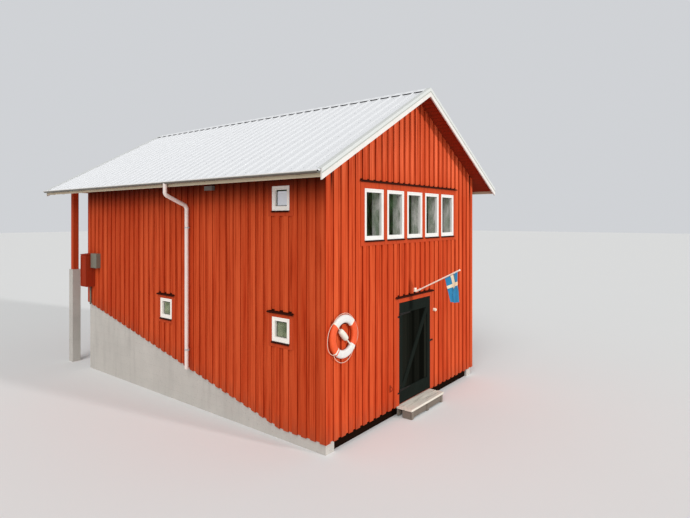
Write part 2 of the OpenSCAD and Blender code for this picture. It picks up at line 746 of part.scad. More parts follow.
// Door leaf: upright boards behind a frame of stiles, rails and one brace
module door_leaf() color("darkslategray") {
    block([leaf_x0, front_y, leaf_z], [leaf_x1, leaf_back_y, leaf_top]);
}
module door_rails() color("black") {
    w = leaf_w - 2 * stile_w;
    h = leaf_h - top_rail_h - bottom_rail_h;
    tilt = atan2(h, w);
    translate([leaf_x0, door_face_y, leaf_z]) along_y(0, casing_t) {
        ring_outline(leaf_w, leaf_h, stile_w, stile_w, bottom_rail_h, top_rail_h);
        intersection() {
            translate([stile_w - 1, bottom_rail_h - 1]) square([w + 2, h + 2]);
            translate([leaf_w / 2, bottom_rail_h + h / 2]) rotate(tilt) square([2 * h, brace_w], center = true);
        }
    }
}
// Hinge bands on the leaf, each with a knuckle that turns on a pin
band_taper = 14;
module door_hinges() color("black") {
    for (z = hinge_z) difference() {
        union() {
            translate([pin_x, pin_y, z]) cylinder(r = knuckle_r, h = knuckle_h);
            along_y(door_face_y - iron_t, door_face_y) polygon([[pin_x, z], [pin_x, z + knuckle_h],
                [pin_x + band_l, z + knuckle_h - band_taper], [pin_x + band_l, z + band_taper]]);
        }
        translate([pin_x, pin_y, z - 1]) cylinder(r = pin_r + pin_gap, h = knuckle_h + 2);
    }
}
// Hasp on the leaf, with its end over the staple on the casing
hasp_h = 36;
hasp_x0 = leaf_x1 - 62;
hasp_foot_x = leaf_x1 - 12;
hasp_x1 = leaf_x1 + 98;
hasp_out = 12;
slot_w = 22;
slot_l = 34;
staple_x = leaf_x1 + 60;
staple_r = 4;
staple_out = 26;
staple_leg = 8;
module door_hasp() color("black") difference() {
    union() {
        block([hasp_x0, door_face_y - hasp_out, hasp_z - hasp_h / 2], [hasp_foot_x, door_face_y, hasp_z + hasp_h / 2]);
        block([hasp_x0, door_face_y - hasp_out, hasp_z - hasp_h / 2],
            [hasp_x1, door_face_y - hasp_out + iron_t, hasp_z + hasp_h / 2]);
    }
    block([staple_x - slot_w / 2, door_face_y - hasp_out - 1, hasp_z - slot_l / 2],
        [staple_x + slot_w / 2, door_face_y - hasp_out + iron_t + 1, hasp_z + slot_l / 2]);
}
// Ironwork on the casing: the pins with their collars and plates, and the staple
collar_h = 20;
plate_w = 60;
plate_h = 32;
module door_ironwork() color("black") {
    for (z = hinge_z) {
        foot = z - 2 - collar_h;
        translate([pin_x, pin_y, foot]) cylinder(r = pin_r, h = z + knuckle_h + 8 - foot);
        translate([pin_x, pin_y, foot]) cylinder(r = knuckle_r, h = collar_h);
        block([pin_x - plate_w, door_face_y - iron_t, z - 2 - plate_h], [pin_x + 1, door_face_y, z - 2]);
    }
    for (side = [-1, 1]) translate([staple_x, door_face_y, hasp_z + side * staple_leg]) rotate([90, 0, 0])
        cylinder(r = staple_r, h = staple_out);
    translate([staple_x, door_face_y - staple_out, hasp_z - staple_leg - staple_r])
        cylinder(r = staple_r, h = 2 * (staple_leg + staple_r));
}

// Step in front of the door: two planks on three legs, a rail at the wall and a board set back under the front
module door_step() color("rosybrown") {
    x0 = step_x - step_w / 2;
    x1 = step_x + step_w / 2;
    y0 = front_y - step_d;
    gap = 8;
    plank_d = (step_d - gap) / 2;
    under_z = step_h - plank_t;
    inset = 24;
    nose = 14;
    leg_w = 70;
    leg_d = 215;
    board_t = 28;
    rail_t = 45;
    block([x0, y0, under_z], [x1, y0 + plank_d, step_h]);
    block([x0, front_y - plank_d, under_z], [x1, front_y, step_h]);
    for (x = [x0 + inset, step_x - leg_w / 2, x1 - inset - leg_w])
        block([x, y0 + nose, 0], [x + leg_w, y0 + nose + leg_d, under_z]);
    block([x0 + inset, y0 + 2 * nose, board_t], [x1 - inset, y0 + 2 * nose + board_t, under_z]);
    block([x0 + inset, front_y - rail_t, board_t], [x1 - inset, front_y, under_z]);
}

// Closed door to the upper floor under the porch roof
module rear_door() color("darkslategray") {
    stile = 110;
    x0 = -rear_door_w / 2;
    block([x0, rear_in_y + 60, upper_floor_h], [x0 + rear_door_w, rear_y, upper_floor_h + rear_door_h]);
    translate([x0, rear_y, upper_floor_h]) along_y(0, casing_t - 6)
        ring_outline(rear_door_w, rear_door_h, stile, stile, 2 * stile, stile);
}
module rear_door_casing() color("firebrick") {
    translate([-rear_door_w / 2 - door_casing_w, rear_y, upper_floor_h - door_casing_w]) along_y(0, casing_t)
        ring_outline(rear_door_w + 2 * door_casing_w, rear_door_h + 2 * door_casing_w, door_casing_w,
            door_casing_w, door_casing_w, door_casing_w);
}

// Lifebuoy on its peg: its section is flat before and behind, and round at the outer and the inner edge
module lifebuoy() color("orangered") {
    flat = buoy_w - buoy_t;
    translate([buoy_x, buoy_y, buoy_z]) rotate([90, 0, 0]) rotate_extrude() translate([buoy_ring_r, 0]) {
        square([flat, buoy_t], center = true);
        for (side = [-1, 1]) translate([side * flat / 2, 0]) circle(r = buoy_t / 2);
    }
}
// Grab line in four loops between the bands, each an arc through its two bands: right, lower, left, upper
loop_start = buoy_d / 2 + line_r + touch;
loop_outs = [loop_tight, loop_slack, loop_slack, loop_tight];
function loop_c(out) = (pow(loop_start + out, 2) - pow(loop_start, 2))
    / (2 * (loop_start + out) - 2 * loop_start * cos(45));
module lifebuoy_line() color("ivory") {
    for (i = [0 : 3]) {
        c = loop_c(loop_outs[i]);
        half = atan2(loop_start * sin(45), loop_start * cos(45) - c);
        translate([buoy_x, buoy_y, buoy_z]) rotate([90, 90 * i, 0]) translate([c, 0, 0]) rotate([0, 0, -half])
            rotate_extrude(angle = 2 * half - 3) translate([loop_start + loop_outs[i] - c, 0]) circle(r = line_r);
    }
}
// Float of the throwing line: a barrel on a slant in the ring, held by a neck at each end
float_neck_r = 13;
module lifebuoy_float() color("white") {
    reach = buoy_in_r - touch;
    translate([buoy_x, float_y, buoy_z]) rotate([0, 135, 0]) {
        translate([0, 0, -float_off]) rotate_extrude() polygon([[0, -float_l / 2], [float_r * 0.7, -float_l / 2],
            [float_r * 0.92, -float_l / 4], [float_r, 0], [float_r * 0.96, float_l / 4],
            [float_r * 0.84, float_l / 2], [0, float_l / 2]]);
        translate([0, 0, -reach]) cylinder(r = float_neck_r, h = 2 * reach);
    }
}
module lifebuoy_hook() color("black") {
    z = buoy_z + buoy_in_r - peg_r - touch;
    translate([buoy_x, front_y, z]) rotate([90, 0, 0]) cylinder(r = peg_r, h = front_y - buoy_y + buoy_t / 2 + 10);
    block([buoy_x - 20, clad_y - 1, z - 30], [buoy_x + 20, front_y, z + 30]);
}

// Flagpole in its bracket over the door
pole_dir = [0, -cos(pole_rise), sin(pole_rise)];
module at_pole(dist) {
    translate([pole_x, pole_y, bracket_z] + dist * pole_dir) rotate([90 - pole_rise, 0, 0]) children();
}
bracket_w = 60;
bracket_plate_t = 8;
module flag_bracket() color("white") difference() {
    union() {
        block([pole_x - bracket_w / 2, clad_y - bracket_plate_t, bracket_z - 14],
            [pole_x + bracket_w / 2, front_y, bracket_z + 66]);
        at_pole(-10) cylinder(r = socket_r, h = socket_l + 10);
    }
    at_pole(0) cylinder(r = pole_r, h = socket_l + 1);
}
module flagpole() color("white") at_pole(0) {
    cylinder(r = pole_r, h = pole_l);
    translate([0, 0, pole_l]) sphere(r = pole_r + 4);
}
// Space that the hanging flag fills, from the pole down to its lower edge
flag_end = pole_l - 30;
module flag() color("royalblue") {
    drop = (pole_r + touch) / cos(pole_rise);
    top = [for (dist = [flag_end - flag_w, flag_end]) [pole_y, bracket_z - drop] + dist * [pole_dir[1], pole_dir[2]]];
    low_z = top[0][1] - flag_drop + flag_w * sin(pole_rise) / 2;
    along_x(pole_x - 15, pole_x - 15 + flag_t)
        polygon([top[0], top[1], [top[1][0] - 55, low_z], [top[0][0] - 170, low_z]]);
}

// Meter cabinet with a sloping lid, and meter box, by the rear corner of the left wall
cabinet_y1 = rear_y - 5;
cabinet_y0 = cabinet_y1 - cabinet_w;
module meter_cabinet() color("firebrick") {
    top_z = cabinet_z + cabinet_h;
    lid_x = -wall_x - cabinet_d - 18;
    block([-wall_x - cabinet_d, cabinet_y0, cabinet_z], [-wall_x, cabinet_y1, top_z]);
    along_y(cabinet_y0 - 12, rear_y)
        polygon([[-wall_x, top_z], [-wall_x, top_z + 24], [lid_x, top_z + 8], [lid_x, top_z]]);
}
module meter_box() color("gray") {
    y1 = cabinet_y0 - 14;
    block([-wall_x - meter_d, y1 - meter_w, meter_z], [-wall_x, y1, meter_z + meter_h]);
}

// Lamp under the left eave and small round lamp beside the door
module eaves_lamp() color("lightgray") {
    y = front_y + eaves_lamp_back;
    block([-wall_x - 78, y - eaves_lamp_l / 2, eaves_lamp_z], [-wall_x, y + eaves_lamp_l / 2, eaves_lamp_z + 88]);
}
module door_lamp() color("white") {
    x = door_x + door_open_w / 2 + door_casing_w + door_lamp_off;
    translate([x, front_y, door_lamp_z]) rotate([90, 0, 0]) {
        cylinder(r = door_lamp_r, h = 48);
        cylinder(r = door_lamp_r - 8, h = 66);
    }
}

foundation_front();
foundation_left();
foundation_right();
foundation_rear();
floor_lower();
floor_upper();
wall_left();
wall_right();
wall_rear();
wall_front_left();
wall_front_right();
wall_front_gable();
rafters();
roof_boards_left();
roof_boards_right();
roof_sheet_left();
roof_sheet_right();
ridge_cap();
verge_boards();
verge_strips();
fascia_boards();
gutters();
downpipes();
downpipe_clips();
porch_posts();
porch_piers();
porch_beams();
gable_window_frames();
gable_window_glass();
gable_window_casing();
side_window_frames();
side_window_glass();
side_window_casings();
head_strips();
window_sills();
door_frame();
door_casing();
door_leaf();
door_rails();
door_hinges();
door_hasp();
door_ironwork();
door_step();
rear_door();
rear_door_casing();
lifebuoy();
lifebuoy_line();
lifebuoy_float();
lifebuoy_hook();
flag_bracket();
flagpole();
flag();
meter_cabinet();
meter_box();
eaves_lamp();
door_lamp();
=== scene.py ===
"""Looks of the timber boathouse: boards, paint, rope, cloth and small fittings round the fixed frame."""

import math

import bpy
import numpy as np
from bpy.props import FloatProperty, FloatVectorProperty, IntProperty, PointerProperty
from bpy.types import Operator, Panel, PropertyGroup
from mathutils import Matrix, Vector


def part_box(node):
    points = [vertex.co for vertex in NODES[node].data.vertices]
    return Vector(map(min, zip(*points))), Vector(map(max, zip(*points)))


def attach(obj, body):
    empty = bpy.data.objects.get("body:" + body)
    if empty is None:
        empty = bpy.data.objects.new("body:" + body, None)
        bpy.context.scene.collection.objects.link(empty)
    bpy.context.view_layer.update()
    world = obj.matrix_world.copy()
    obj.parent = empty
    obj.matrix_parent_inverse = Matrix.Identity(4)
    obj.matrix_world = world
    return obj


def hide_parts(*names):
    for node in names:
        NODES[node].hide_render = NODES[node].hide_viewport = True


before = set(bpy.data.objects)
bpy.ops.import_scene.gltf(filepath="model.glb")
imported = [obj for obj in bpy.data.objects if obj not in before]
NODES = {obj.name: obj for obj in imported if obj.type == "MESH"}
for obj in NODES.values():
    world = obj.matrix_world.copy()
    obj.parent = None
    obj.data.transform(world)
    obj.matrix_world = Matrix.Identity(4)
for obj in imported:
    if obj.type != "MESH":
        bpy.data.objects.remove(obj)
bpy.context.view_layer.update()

bl_info = {
    "name": "Timber boathouse",
    "version": (1, 0, 0),
    "blender": (4, 5, 0),
    "location": "3D View > Sidebar > Boathouse",
    "description": "Boards, paint, rope, cloth and fittings for a timber boathouse",
    "category": "Add Mesh",
}

UP = np.array([0.0, 0.0, 1.0])


def low(node):
    """Lowest corner of a node's box."""
    return np.array(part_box(node)[0])


def high(node):
    """Highest corner of a node's box."""
    return np.array(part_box(node)[1])


# Faces that the boards are fixed to, and the lines of the roof
WALL_X = high("wall_right")[0]
WALL_IN_X = low("wall_right")[0]
FRONT_Y = low("wall_front_gable")[1]
FRONT_IN_Y = high("wall_front_gable")[1]
REAR_Y = high("wall_rear")[1]
REAR_IN_Y = low("wall_rear")[1]
FOOT_Z = low("wall_left")[2]
REAR_FOOT_Z = high("foundation_rear")[2]
ROOF_APEX = high("wall_front_gable")[2]
EAVE_Z = low("roof_boards_right")[2]
EAVE_X = high("roof_boards_right")[0]
PITCH = math.atan2(ROOF_APEX - EAVE_Z, EAVE_X)
RIDGE = np.array([0.0, 0.0, ROOF_APEX])


def corners_of(node):
    """Corner points of a node's mesh."""
    mesh = NODES[node].data
    points = np.zeros(len(mesh.vertices) * 3, np.float32)
    mesh.vertices.foreach_get("co", points)
    return points.reshape(-1, 3).astype(float)


def levels(node, axis):
    """Places of a node's corners along one axis, each once and from the lowest."""
    return np.unique(np.round(corners_of(node)[:, axis], 4))


def roof_z(x, depth=0.0):
    """Height of the underside of the roof boards at x, and of a plane at a depth square to the slope."""
    return ROOF_APEX + depth / math.cos(PITCH) - np.abs(x) * math.tan(PITCH)


def slope_directions(side):
    """Directions square out of the roof and down it, for the slope where x has the sign of side."""
    out = np.array([side * math.sin(PITCH), 0.0, math.cos(PITCH)])
    return out, np.array([side * math.cos(PITCH), 0.0, -math.sin(PITCH)])


# Distance between the ribs of the roof sheets
RIB_PITCH = 0.275
# Painted shade under the eaves: share of the walls' colour that is left, by the distance below the rafters'
# feet in metres
EAVE_SHADE = ((0.0, 0.04), (0.10, 0.09), (0.20, 0.22), (0.30, 0.44), (0.42, 0.70), (0.57, 0.91), (0.80, 1.0))
# How far the boards hang below a wall's foot
BOARD_DROP = 0.01
# A height over everything, and under everything with a minus
FAR_UP = 30.0
# Height of the rafters' feet over the underside of the porch beams
RAFTER_OVER_BEAM = 0.12
# Height between the panes of the lower and the upper small windows
BETWEEN_FLOORS = 3.5
# Height of the folded strips over the casings, and width of the porch beams' ends
STRIP_OVER = 0.02
BEAM_WIDTH = 0.14
# Distance between the grooves of the boards under the roof
SOFFIT_BOARD = 0.102


def rafter_foot():
    """Height of the rafters' feet, where the side walls' boards end."""
    return float(low("porch_beams")[2]) + RAFTER_OVER_BEAM


def rib_places():
    """Places along the house of the ribs' middles in the roof sheets."""
    y0, y1 = low("roof_sheet_left")[1], high("roof_sheet_left")[1]
    rib_foot = 0.07
    count = int((y1 - y0 - rib_foot) / RIB_PITCH) + 1
    return (y0 + y1) / 2 + (np.arange(count) - (count - 1) / 2) * RIB_PITCH


# Sizes and colours


def length(name, description, default):
    """A length in metres that the user may change."""
    return FloatProperty(
        name=name, description=description, default=default, min=0.0, precision=4, unit="LENGTH")


def number(name, description, default):
    """A plain number that the user may change."""
    return FloatProperty(name=name, description=description, default=default)


def colour(name, description, default):
    """A scene linear colour that the user may change."""
    return FloatVectorProperty(
        name=name, description=description, default=default, size=3, min=0.0, max=1.0, subtype="COLOR")


class BoathouseBoards(PropertyGroup):
    """Sizes of the upright boards on the walls."""

    width: length("Board width", "Width of an over-board", 0.12)
    thickness: length("Board thickness", "Thickness of an over-board", 0.022)
    gable_pitch: length("Gable pitch", "Distance between over-boards on the gables", 0.2037)
    side_pitch: length("Side pitch", "Distance between over-boards on the side walls", 0.2122)
    chamfer: length("Chamfer", "Broken edge of a board", 0.0022)
    width_spread: length("Width spread", "How much the sawn widths differ", 0.004)
    depth_spread: length("Depth spread", "How much the boards' faces differ", 0.0025)
    foot_spread: length("Foot spread", "How much the boards' lower ends differ", 0.006)
    roof_gap: length("Roof gap", "Gap between the boards and the roof boards", 0.004)
    level_foot: length("Level foot", "Length of the level foot of a side wall", 1.04)
    least: length("Least width", "Strips narrower than this are left out", 0.018)
    seed: IntProperty(name="Seed", description="Start of the random draws", default=11, min=0)


class BoathouseColours(PropertyGroup):
    """Colours of the finishes."""

    red: colour("Red paint", "Paint of the walls", (0.655, 0.096, 0.027))
    red_dark: colour("Dark red", "Paint of the darker boards", (0.42, 0.028, 0.003))
    red_faded: colour("Faded red", "Paint high up on the gables", (0.86, 0.155, 0.060))
    trim_red: colour("Trim red", "Paint of the casings", (0.54, 0.064, 0.018))
    # Painted shade: the roof boards' red is darker than the walls' red, for the shade under the roof
    soffit_red: colour("Soffit red", "Paint under the roof", (0.27, 0.024, 0.007))
    white: colour("White paint", "Frames and verge boards", (0.80, 0.785, 0.75))
    # Painted light: a lighter, warmer copy of the white paint, against the shade under the eaves
    side_white: colour("Side white", "Frames of the small windows", (0.99, 0.93, 0.86))
    cream: colour("Cream paint", "Fascia boards", (0.66, 0.54, 0.38))
    roof: colour("Roof sheet", "Painted steel of the roof", (0.85, 0.855, 0.87))
    steel_white: colour("White steel", "Gutters", (0.86, 0.81, 0.77))
    # White paint with a pink tint that is painted reflection of the red wall
    pipe_white: colour("Pipe white", "Downpipes", (0.88, 0.75, 0.69))
    verge: colour("Verge paint", "Verge boards", (0.76, 0.725, 0.68))
    verge_steel: colour("Verge steel", "Folded strips on the verge boards", (0.66, 0.672, 0.645))
    lining: colour("Lining paint", "Boards round the windows inside", (0.90, 0.89, 0.83))
    # Cream paint, lightened to stand in for the sunlight on the pole: partly painted light
    pole: colour("Pole paint", "Flagpole and its bracket", (1.0, 0.93, 0.80))
    cabinet: colour("Cabinet red", "Paint of the meter cabinet", (0.36, 0.034, 0.010))
    zinc: colour("Zinc", "Clips and brackets", (0.55, 0.56, 0.57))
    dark_strip: colour("Dark strip", "Folded strips over the openings", (0.040, 0.0085, 0.005))
    door_black: colour("Door black", "Paint of the door's frame and brace", (0.0105, 0.0135, 0.0112))
    board_black: colour("Board black", "Paint of the door's boards", (0.0046, 0.0050, 0.0038))
    iron: colour("Iron", "Hinges and hasp", (0.014, 0.013, 0.012))
    concrete: colour("Concrete", "Foundation and piers", (0.56, 0.525, 0.48))
    recess: colour("Shaded concrete", "Foundation under the front gable", (0.012, 0.006, 0.004))
    bare_wood: colour("Bare wood", "Wood inside the house", (0.50, 0.36, 0.22))
    grey_wood: colour("Weathered wood", "Planks of the step", (0.92, 0.81, 0.70))
    buoy_orange: colour("Buoy orange", "Orange parts of the lifebuoy", (0.74, 0.088, 0.018))
    buoy_white: colour("Buoy white", "White parts of the lifebuoy", (0.74, 0.72, 0.69))
    rope: colour("Grab line", "Line round the lifebuoy", (0.78, 0.52, 0.40))
    flag_blue: colour("Flag blue", "Field of the flag", (0.018, 0.290, 0.58))
    flag_yellow: colour("Flag yellow", "Cross of the flag", (1.0, 1.0, 0.72))
    meter_grey: colour("Meter grey", "Meter box", (0.19, 0.18, 0.14))
    lamp_grey: colour("Lamp grey", "Shell of the lamp under the eaves", (0.20, 0.175, 0.155))
    lamp_cream: colour("Lamp cream", "Shell of the lamp by the door", (0.92, 0.82, 0.66))
    hook_red: colour("Hook red", "Painted hook on the front wall", (0.30, 0.036, 0.012))


class BoathouseStage(PropertyGroup):
    """Camera, floor and lights."""

    camera_place: FloatVectorProperty(
        name="Camera place", description="Where the camera stands",
        default=(-9.211, -9.471, 3.908), unit="LENGTH")
    camera_turn: FloatProperty(
        name="Camera turn", description="Turn of the camera about the upright axis",
        default=math.radians(-51.916), subtype="ANGLE")
    lens: number("Lens", "Focal length in millimetres on a 36 mm sensor", 26.556)
    shift: number("Shift", "Upright shift of the picture", -0.0585)
    floor: colour("Floor", "Colour of the plain floor", (0.82, 0.815, 0.805))
    backdrop: colour("Backdrop", "Colour behind the house", (0.63, 0.645, 0.67))
    ambient: number("Ambient", "Strength of the light from all round", 0.40)
    key: number("Key", "Strength of the key light", 1.75)
    fill: number("Fill", "Strength of the light from above the long wall", 1.15)
    side: number("Side", "Strength of the light on the long wall", 0.68)


# Meshes from arrays


def grid_faces(rows, columns, close_rows=False, close_columns=False):
    """Four-cornered faces between neighbours of a grid of points, which may close on itself either way."""
    i = np.arange(rows if close_rows else rows - 1)[:, None]
    j = np.arange(columns if close_columns else columns - 1)[None, :]
    i_next, j_next = (i + 1) % rows, (j + 1) % columns
    corners = [i * columns + j, i * columns + j_next, i_next * columns + j_next, i_next * columns + j]
    return np.stack(corners, axis=-1).reshape(-1, 4)


def prisms(foot, head):
    """Closed prisms: each ring of foot, counter-clockwise from above, is joined to the same ring of head."""
    count, sides = foot.shape[:2]
    points = np.concatenate([foot, head], axis=1).reshape(-1, 3)
    start = (np.arange(count) * 2 * sides)[:, None]
    i = np.arange(sides)
    j = (i + 1) % sides
    walls = start[:, :, None] + np.stack([i, j, j + sides, i + sides], axis=1)[None]
    return points, [walls.reshape(-1, 4), start + i[::-1], start + sides + i]


def boxes(lows, highs):
    """Blocks from their lowest and highest corners, as prisms of four sides."""
    lows, highs = np.asarray(lows, float).reshape(-1, 3), np.asarray(highs, float).reshape(-1, 3)
    x0, y0, z0 = lows.T
    x1, y1, z1 = highs.T
    foot = np.stack([np.stack(p, 1) for p in ((x0, y0, z0), (x1, y0, z0), (x1, y1, z0), (x0, y1, z0))], 1)
    head = foot.copy()
    head[:, :, 2] = z1[:, None]
    return prisms(foot, head)


def angles(count):
    """So many angles, evenly spread round a circle."""
    return np.arange(count) * 2 * np.pi / count


def loft(points, closed=False):
    """Skin over rings of points, one ring a row, which closes on itself or has a face over each end."""
    rows, columns = points.shape[:2]
    faces = [grid_faces(rows, columns, close_rows=closed, close_columns=True)]
    if not closed:
        ends = np.arange(columns)
        faces += [ends[None, ::-1], (rows - 1) * columns + ends[None, :]]
    return points.reshape(-1, 3), faces


def tube(path, side, radius, sides=10, strands=0, lay=0.0, depth=0.0):
    """Skin round a path that lies square to side. Each ring is the radius times a circle in the plane of
    side and the path's own normal. The strands of a rope add a wave round the ring, which turns by lay
    with the way gone."""
    path = np.asarray(path, float)
    tangent = np.gradient(path, axis=0)
    tangent /= np.linalg.norm(tangent, axis=1)[:, None]
    side = np.asarray(side, float)
    lift = np.cross(tangent, side)
    steps = np.linalg.norm(np.diff(path, axis=0), axis=1)
    gone = np.concatenate([[0.0], np.cumsum(steps)])[:, None]
    angle = angles(sides)[None, :]
    reach = radius * (1 + depth * np.cos(strands * (angle - lay * gone)))
    across, up = (reach * np.cos(angle))[..., None], (reach * np.sin(angle))[..., None]
    return loft(path[:, None, :] + across * side + up * lift[:, None, :])


def turned(centre, axis, across, radii, steps, sides=16):
    """Surface of revolution: a ring of each radius stands at each step along axis, with across at angle 0."""
    axis, across = np.asarray(axis, float), np.asarray(across, float)
    third = np.cross(axis, across)
    angle = angles(sides)[None, :, None]
    radii, steps = np.asarray(radii, float)[:, None, None], np.asarray(steps, float)[:, None, None]
    return loft(centre + steps * axis + radii * (np.cos(angle) * across + np.sin(angle) * third))


def many(shapes):
    """Several shapes as one: their points one after the other, with the face numbers moved on."""
    points, faces, start = [], [], 0
    for shape_points, shape_faces in shapes:
        points.append(shape_points)
        faces += [f + start for f in shape_faces]
        start += len(shape_points)
    return np.concatenate(points), faces


# Radius and height of a dome's three rings, as shares of its own
DOME_RINGS = ((1, -0.2), (1, 0.35), (0.6, 0.85))


def domes(places, out, radius, height, sides=8):
    """Low domes, such as screw and bolt heads: three rings and a top point over each place, along out."""
    places = np.asarray(places, float).reshape(-1, 3)
    out = np.broadcast_to(np.asarray(out, float), places.shape)
    helper = np.where(np.abs(out[:, 2:3]) < 0.9, UP, np.array([1.0, 0.0, 0.0]))
    first = np.cross(helper, out)
    first /= np.linalg.norm(first, axis=1)[:, None]
    second = np.cross(out, first)
    angle = angles(sides)[None, :, None]
    circle = np.cos(angle) * first[:, None] + np.sin(angle) * second[:, None]
    rings = [places[:, None] + radius * r * circle + height * h * out[:, None] for r, h in DOME_RINGS]
    points = np.concatenate(rings + [(places + height * out)[:, None]], axis=1)
    start = (np.arange(len(places)) * points.shape[1])[:, None, None]
    i = np.arange(sides)
    j = (i + 1) % sides
    walls = np.concatenate([np.stack([i + r, j + r, j + r + sides, i + r + sides], 1) for r in (0, sides)])
    cap = np.stack([i + 2 * sides, j + 2 * sides, np.full(sides, 3 * sides)], 1)
    faces = [(start + part).reshape(-1, part.shape[1]) for part in (walls, cap, i[::-1][None])]
    return points.reshape(-1, 3), faces


def board_ring(a, b, axis, board):
    """Lowest and highest corners of four boards round the inside of a block, a hole along an axis between."""
    corners = np.tile(np.array([a, b], float)[:, None], (1, 4, 1))
    lows, highs = corners
    s = 1 - axis
    highs[0, s] = a[s] + board
    lows[1, s] = b[s] - board
    lows[2:, s] = a[s] + board
    highs[2:, s] = b[s] - board
    highs[2, 2] = a[2] + board
    lows[3, 2] = b[2] - board
    return corners


def add_mesh(name, shape, finish_name, smooth=False, attributes=()):
    """A mesh object from points and arrays of faces, with one finish and named values at its points."""
    points, faces = shape
    mesh = bpy.data.meshes.new(name)
    corners = np.concatenate([f.ravel() for f in faces]).astype(np.int32)
    counts = np.concatenate([np.full(len(f), f.shape[1]) for f in faces])
    mesh.vertices.add(len(points))
    mesh.vertices.foreach_set("co", np.ascontiguousarray(points, np.float32).ravel())
    mesh.loops.add(len(corners))
    mesh.loops.foreach_set("vertex_index", corners)
    mesh.polygons.add(len(counts))
    mesh.polygons.foreach_set("loop_start", np.concatenate([[0], np.cumsum(counts)[:-1]]).astype(np.int32))
    mesh.polygons.foreach_set("use_smooth", np.full(len(counts), smooth))
    mesh.update(calc_edges=True)
    if mesh.validate():
        raise RuntimeError(f"{name}: the mesh had faulty faces")
    for key, values in dict(attributes).items():
        mesh.attributes.new(key, "FLOAT", "POINT").data.foreach_set("value", np.asarray(values, np.float32))
    mesh.materials.append(finish(finish_name))
    piece = bpy.data.objects.new(name, mesh)
    bpy.context.scene.collection.objects.link(piece)
    return piece


def add_piece(name, shape, finish_name, body="house", smooth=False, replaces=(), attributes=()):
    """A piece of the house that rides on a body and may stand for nodes of the frame."""
    piece = add_mesh(name, shape, finish_name, smooth, attributes)
    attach(piece, body)
    if replaces:
        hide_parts(*replaces)
    return piece


# Shader maths


class Value:
    """A socket of a finish. Arithmetic on values adds Math nodes."""

    def __init__(self, owner, socket):
        self.owner = owner
        self.socket = socket

    def math(self, operation, first, second=0.0):
        return self.owner.add("ShaderNodeMath", {"operation": operation}, {0: first, 1: second})

    def __add__(self, other):
        return self.math("ADD", self, other)

    __radd__ = __add__

    def __sub__(self, other):
        return self.math("SUBTRACT", self, other)

    def __rsub__(self, other):
        return self.math("SUBTRACT", other, self)

    def __mul__(self, other):
        return self.math("MULTIPLY", self, other)

    __rmul__ = __mul__

    def __lt__(self, other):
        return self.math("LESS_THAN", self, other)

    def __gt__(self, other):
        return self.math("GREATER_THAN", self, other)

    def __abs__(self):
        return self.math("ABSOLUTE", self)

    def clamped(self):
        return self.math("MINIMUM", self.math("MAXIMUM", self, 0.0), 1.0)

    def fraction(self):
        return self.math("FRACT", self)


class Finish:
    """A material whose nodes come from add(): a type, its settings and its sockets' values or links."""

    def __init__(self, name):
        self.material = bpy.data.materials.new(name)
        self.material.use_nodes = True
        self.tree = self.material.node_tree
        self.shader = self.tree.nodes["Principled BSDF"]
        self.place = None

    def set(self, **sockets):
        """Sets or links sockets of the shader, named with underscores in place of spaces."""
        for key, value in sockets.items():
            self.feed(self.shader.inputs[key.replace("_", " ")], value)

    def feed(self, socket, value):
        if isinstance(value, Value):
            self.tree.links.new(value.socket, socket)
        elif hasattr(value, "__len__") and len(value) == 3 and socket.type == "RGBA":
            socket.default_value = (*value, 1.0)
        else:
            socket.default_value = value

    def add(self, kind, settings=(), inputs=(), output=0):
        node = self.tree.nodes.new(kind)
        for key, value in dict(settings).items():
            if key == "stops":
                ramp = node.color_ramp
                while len(ramp.elements) < len(value):
                    ramp.elements.new(1.0)
                for element, (position, grey) in zip(ramp.elements, value):
                    element.position = position
                    element.color = (grey, grey, grey, 1.0)
            else:
                setattr(node, key, value)
        for key, value in dict(inputs).items():
            self.feed(node.inputs[key], value)
        return Value(self, node.outputs[output])

    def coordinates(self):
        """Object coordinates, in metres."""
        if self.place is None:
            self.place = self.add("ShaderNodeTexCoord", output="Object")
        return self.place

    def axes(self, place=None):
        """X, Y and Z of a place, or else of the object's coordinates, as three values."""
        split = self.add("ShaderNodeSeparateXYZ", inputs={0: place or self.coordinates()})
        return [Value(self, split.socket.node.outputs[i]) for i in range(3)]

    def attribute(self, name):
        return self.add("ShaderNodeAttribute", {"attribute_name": name}, output="Fac")

    def noise(self, scale, detail=3.0, roughness=0.55, stretch=(1, 1, 1), shift=None):
        """Noise at so many waves a metre, stretched along the axes, which a value may shift."""
        place = self.add("ShaderNodeMapping", inputs={"Vector": self.coordinates(), "Scale": stretch})
        if shift is not None:
            parts = {0: shift * 17.0, 1: shift * 31.0, 2: shift * 53.0}
            offset = self.add("ShaderNodeCombineXYZ", inputs=parts)
            place = self.add("ShaderNodeVectorMath", {"operation": "ADD"}, {0: place, 1: offset})
        return self.add("ShaderNodeTexNoise", inputs={
            "Vector": place, "Scale": scale, "Detail": detail, "Roughness": roughness})

    def ramp(self, value, *stops):
        return self.add("ShaderNodeValToRGB", {"stops": stops}, {0: value})

    def mix(self, factor, first, second):
        """Colour between first, at 0, and second, at 1."""
        inputs = {0: factor, 6: first, 7: second}
        return self.add("ShaderNodeMix", {"data_type": "RGBA"}, inputs, output=2)

    def bump(self, height, strength, distance):
        inputs = {"Height": height, "Strength": strength, "Distance": distance}
        self.set(Normal=self.add("ShaderNodeBump", inputs=inputs))


FINISHES = {}
MAKERS = {}


def maker(function):
    """Registers the function that fills in the finish of its own name."""
    MAKERS[function.__name__] = function
    return function


def finish(name):
    """The material of a name, made when it is first asked for."""
    if name not in FINISHES:
        colours = bpy.context.scene.boathouse_colours
        f = Finish(name)
        if name in MAKERS:
            MAKERS[name](f, colours)
        else:
            fill, base, *rest = LIKE_FINISHES[name]
            fill(f, getattr(colours, base), *rest)
        FINISHES[name] = f.material
    return FINISHES[name]


def shade(colour_value, factor):
    """A colour made darker or lighter by a factor."""
    return tuple(min(1.0, c * factor) for c in colour_value)


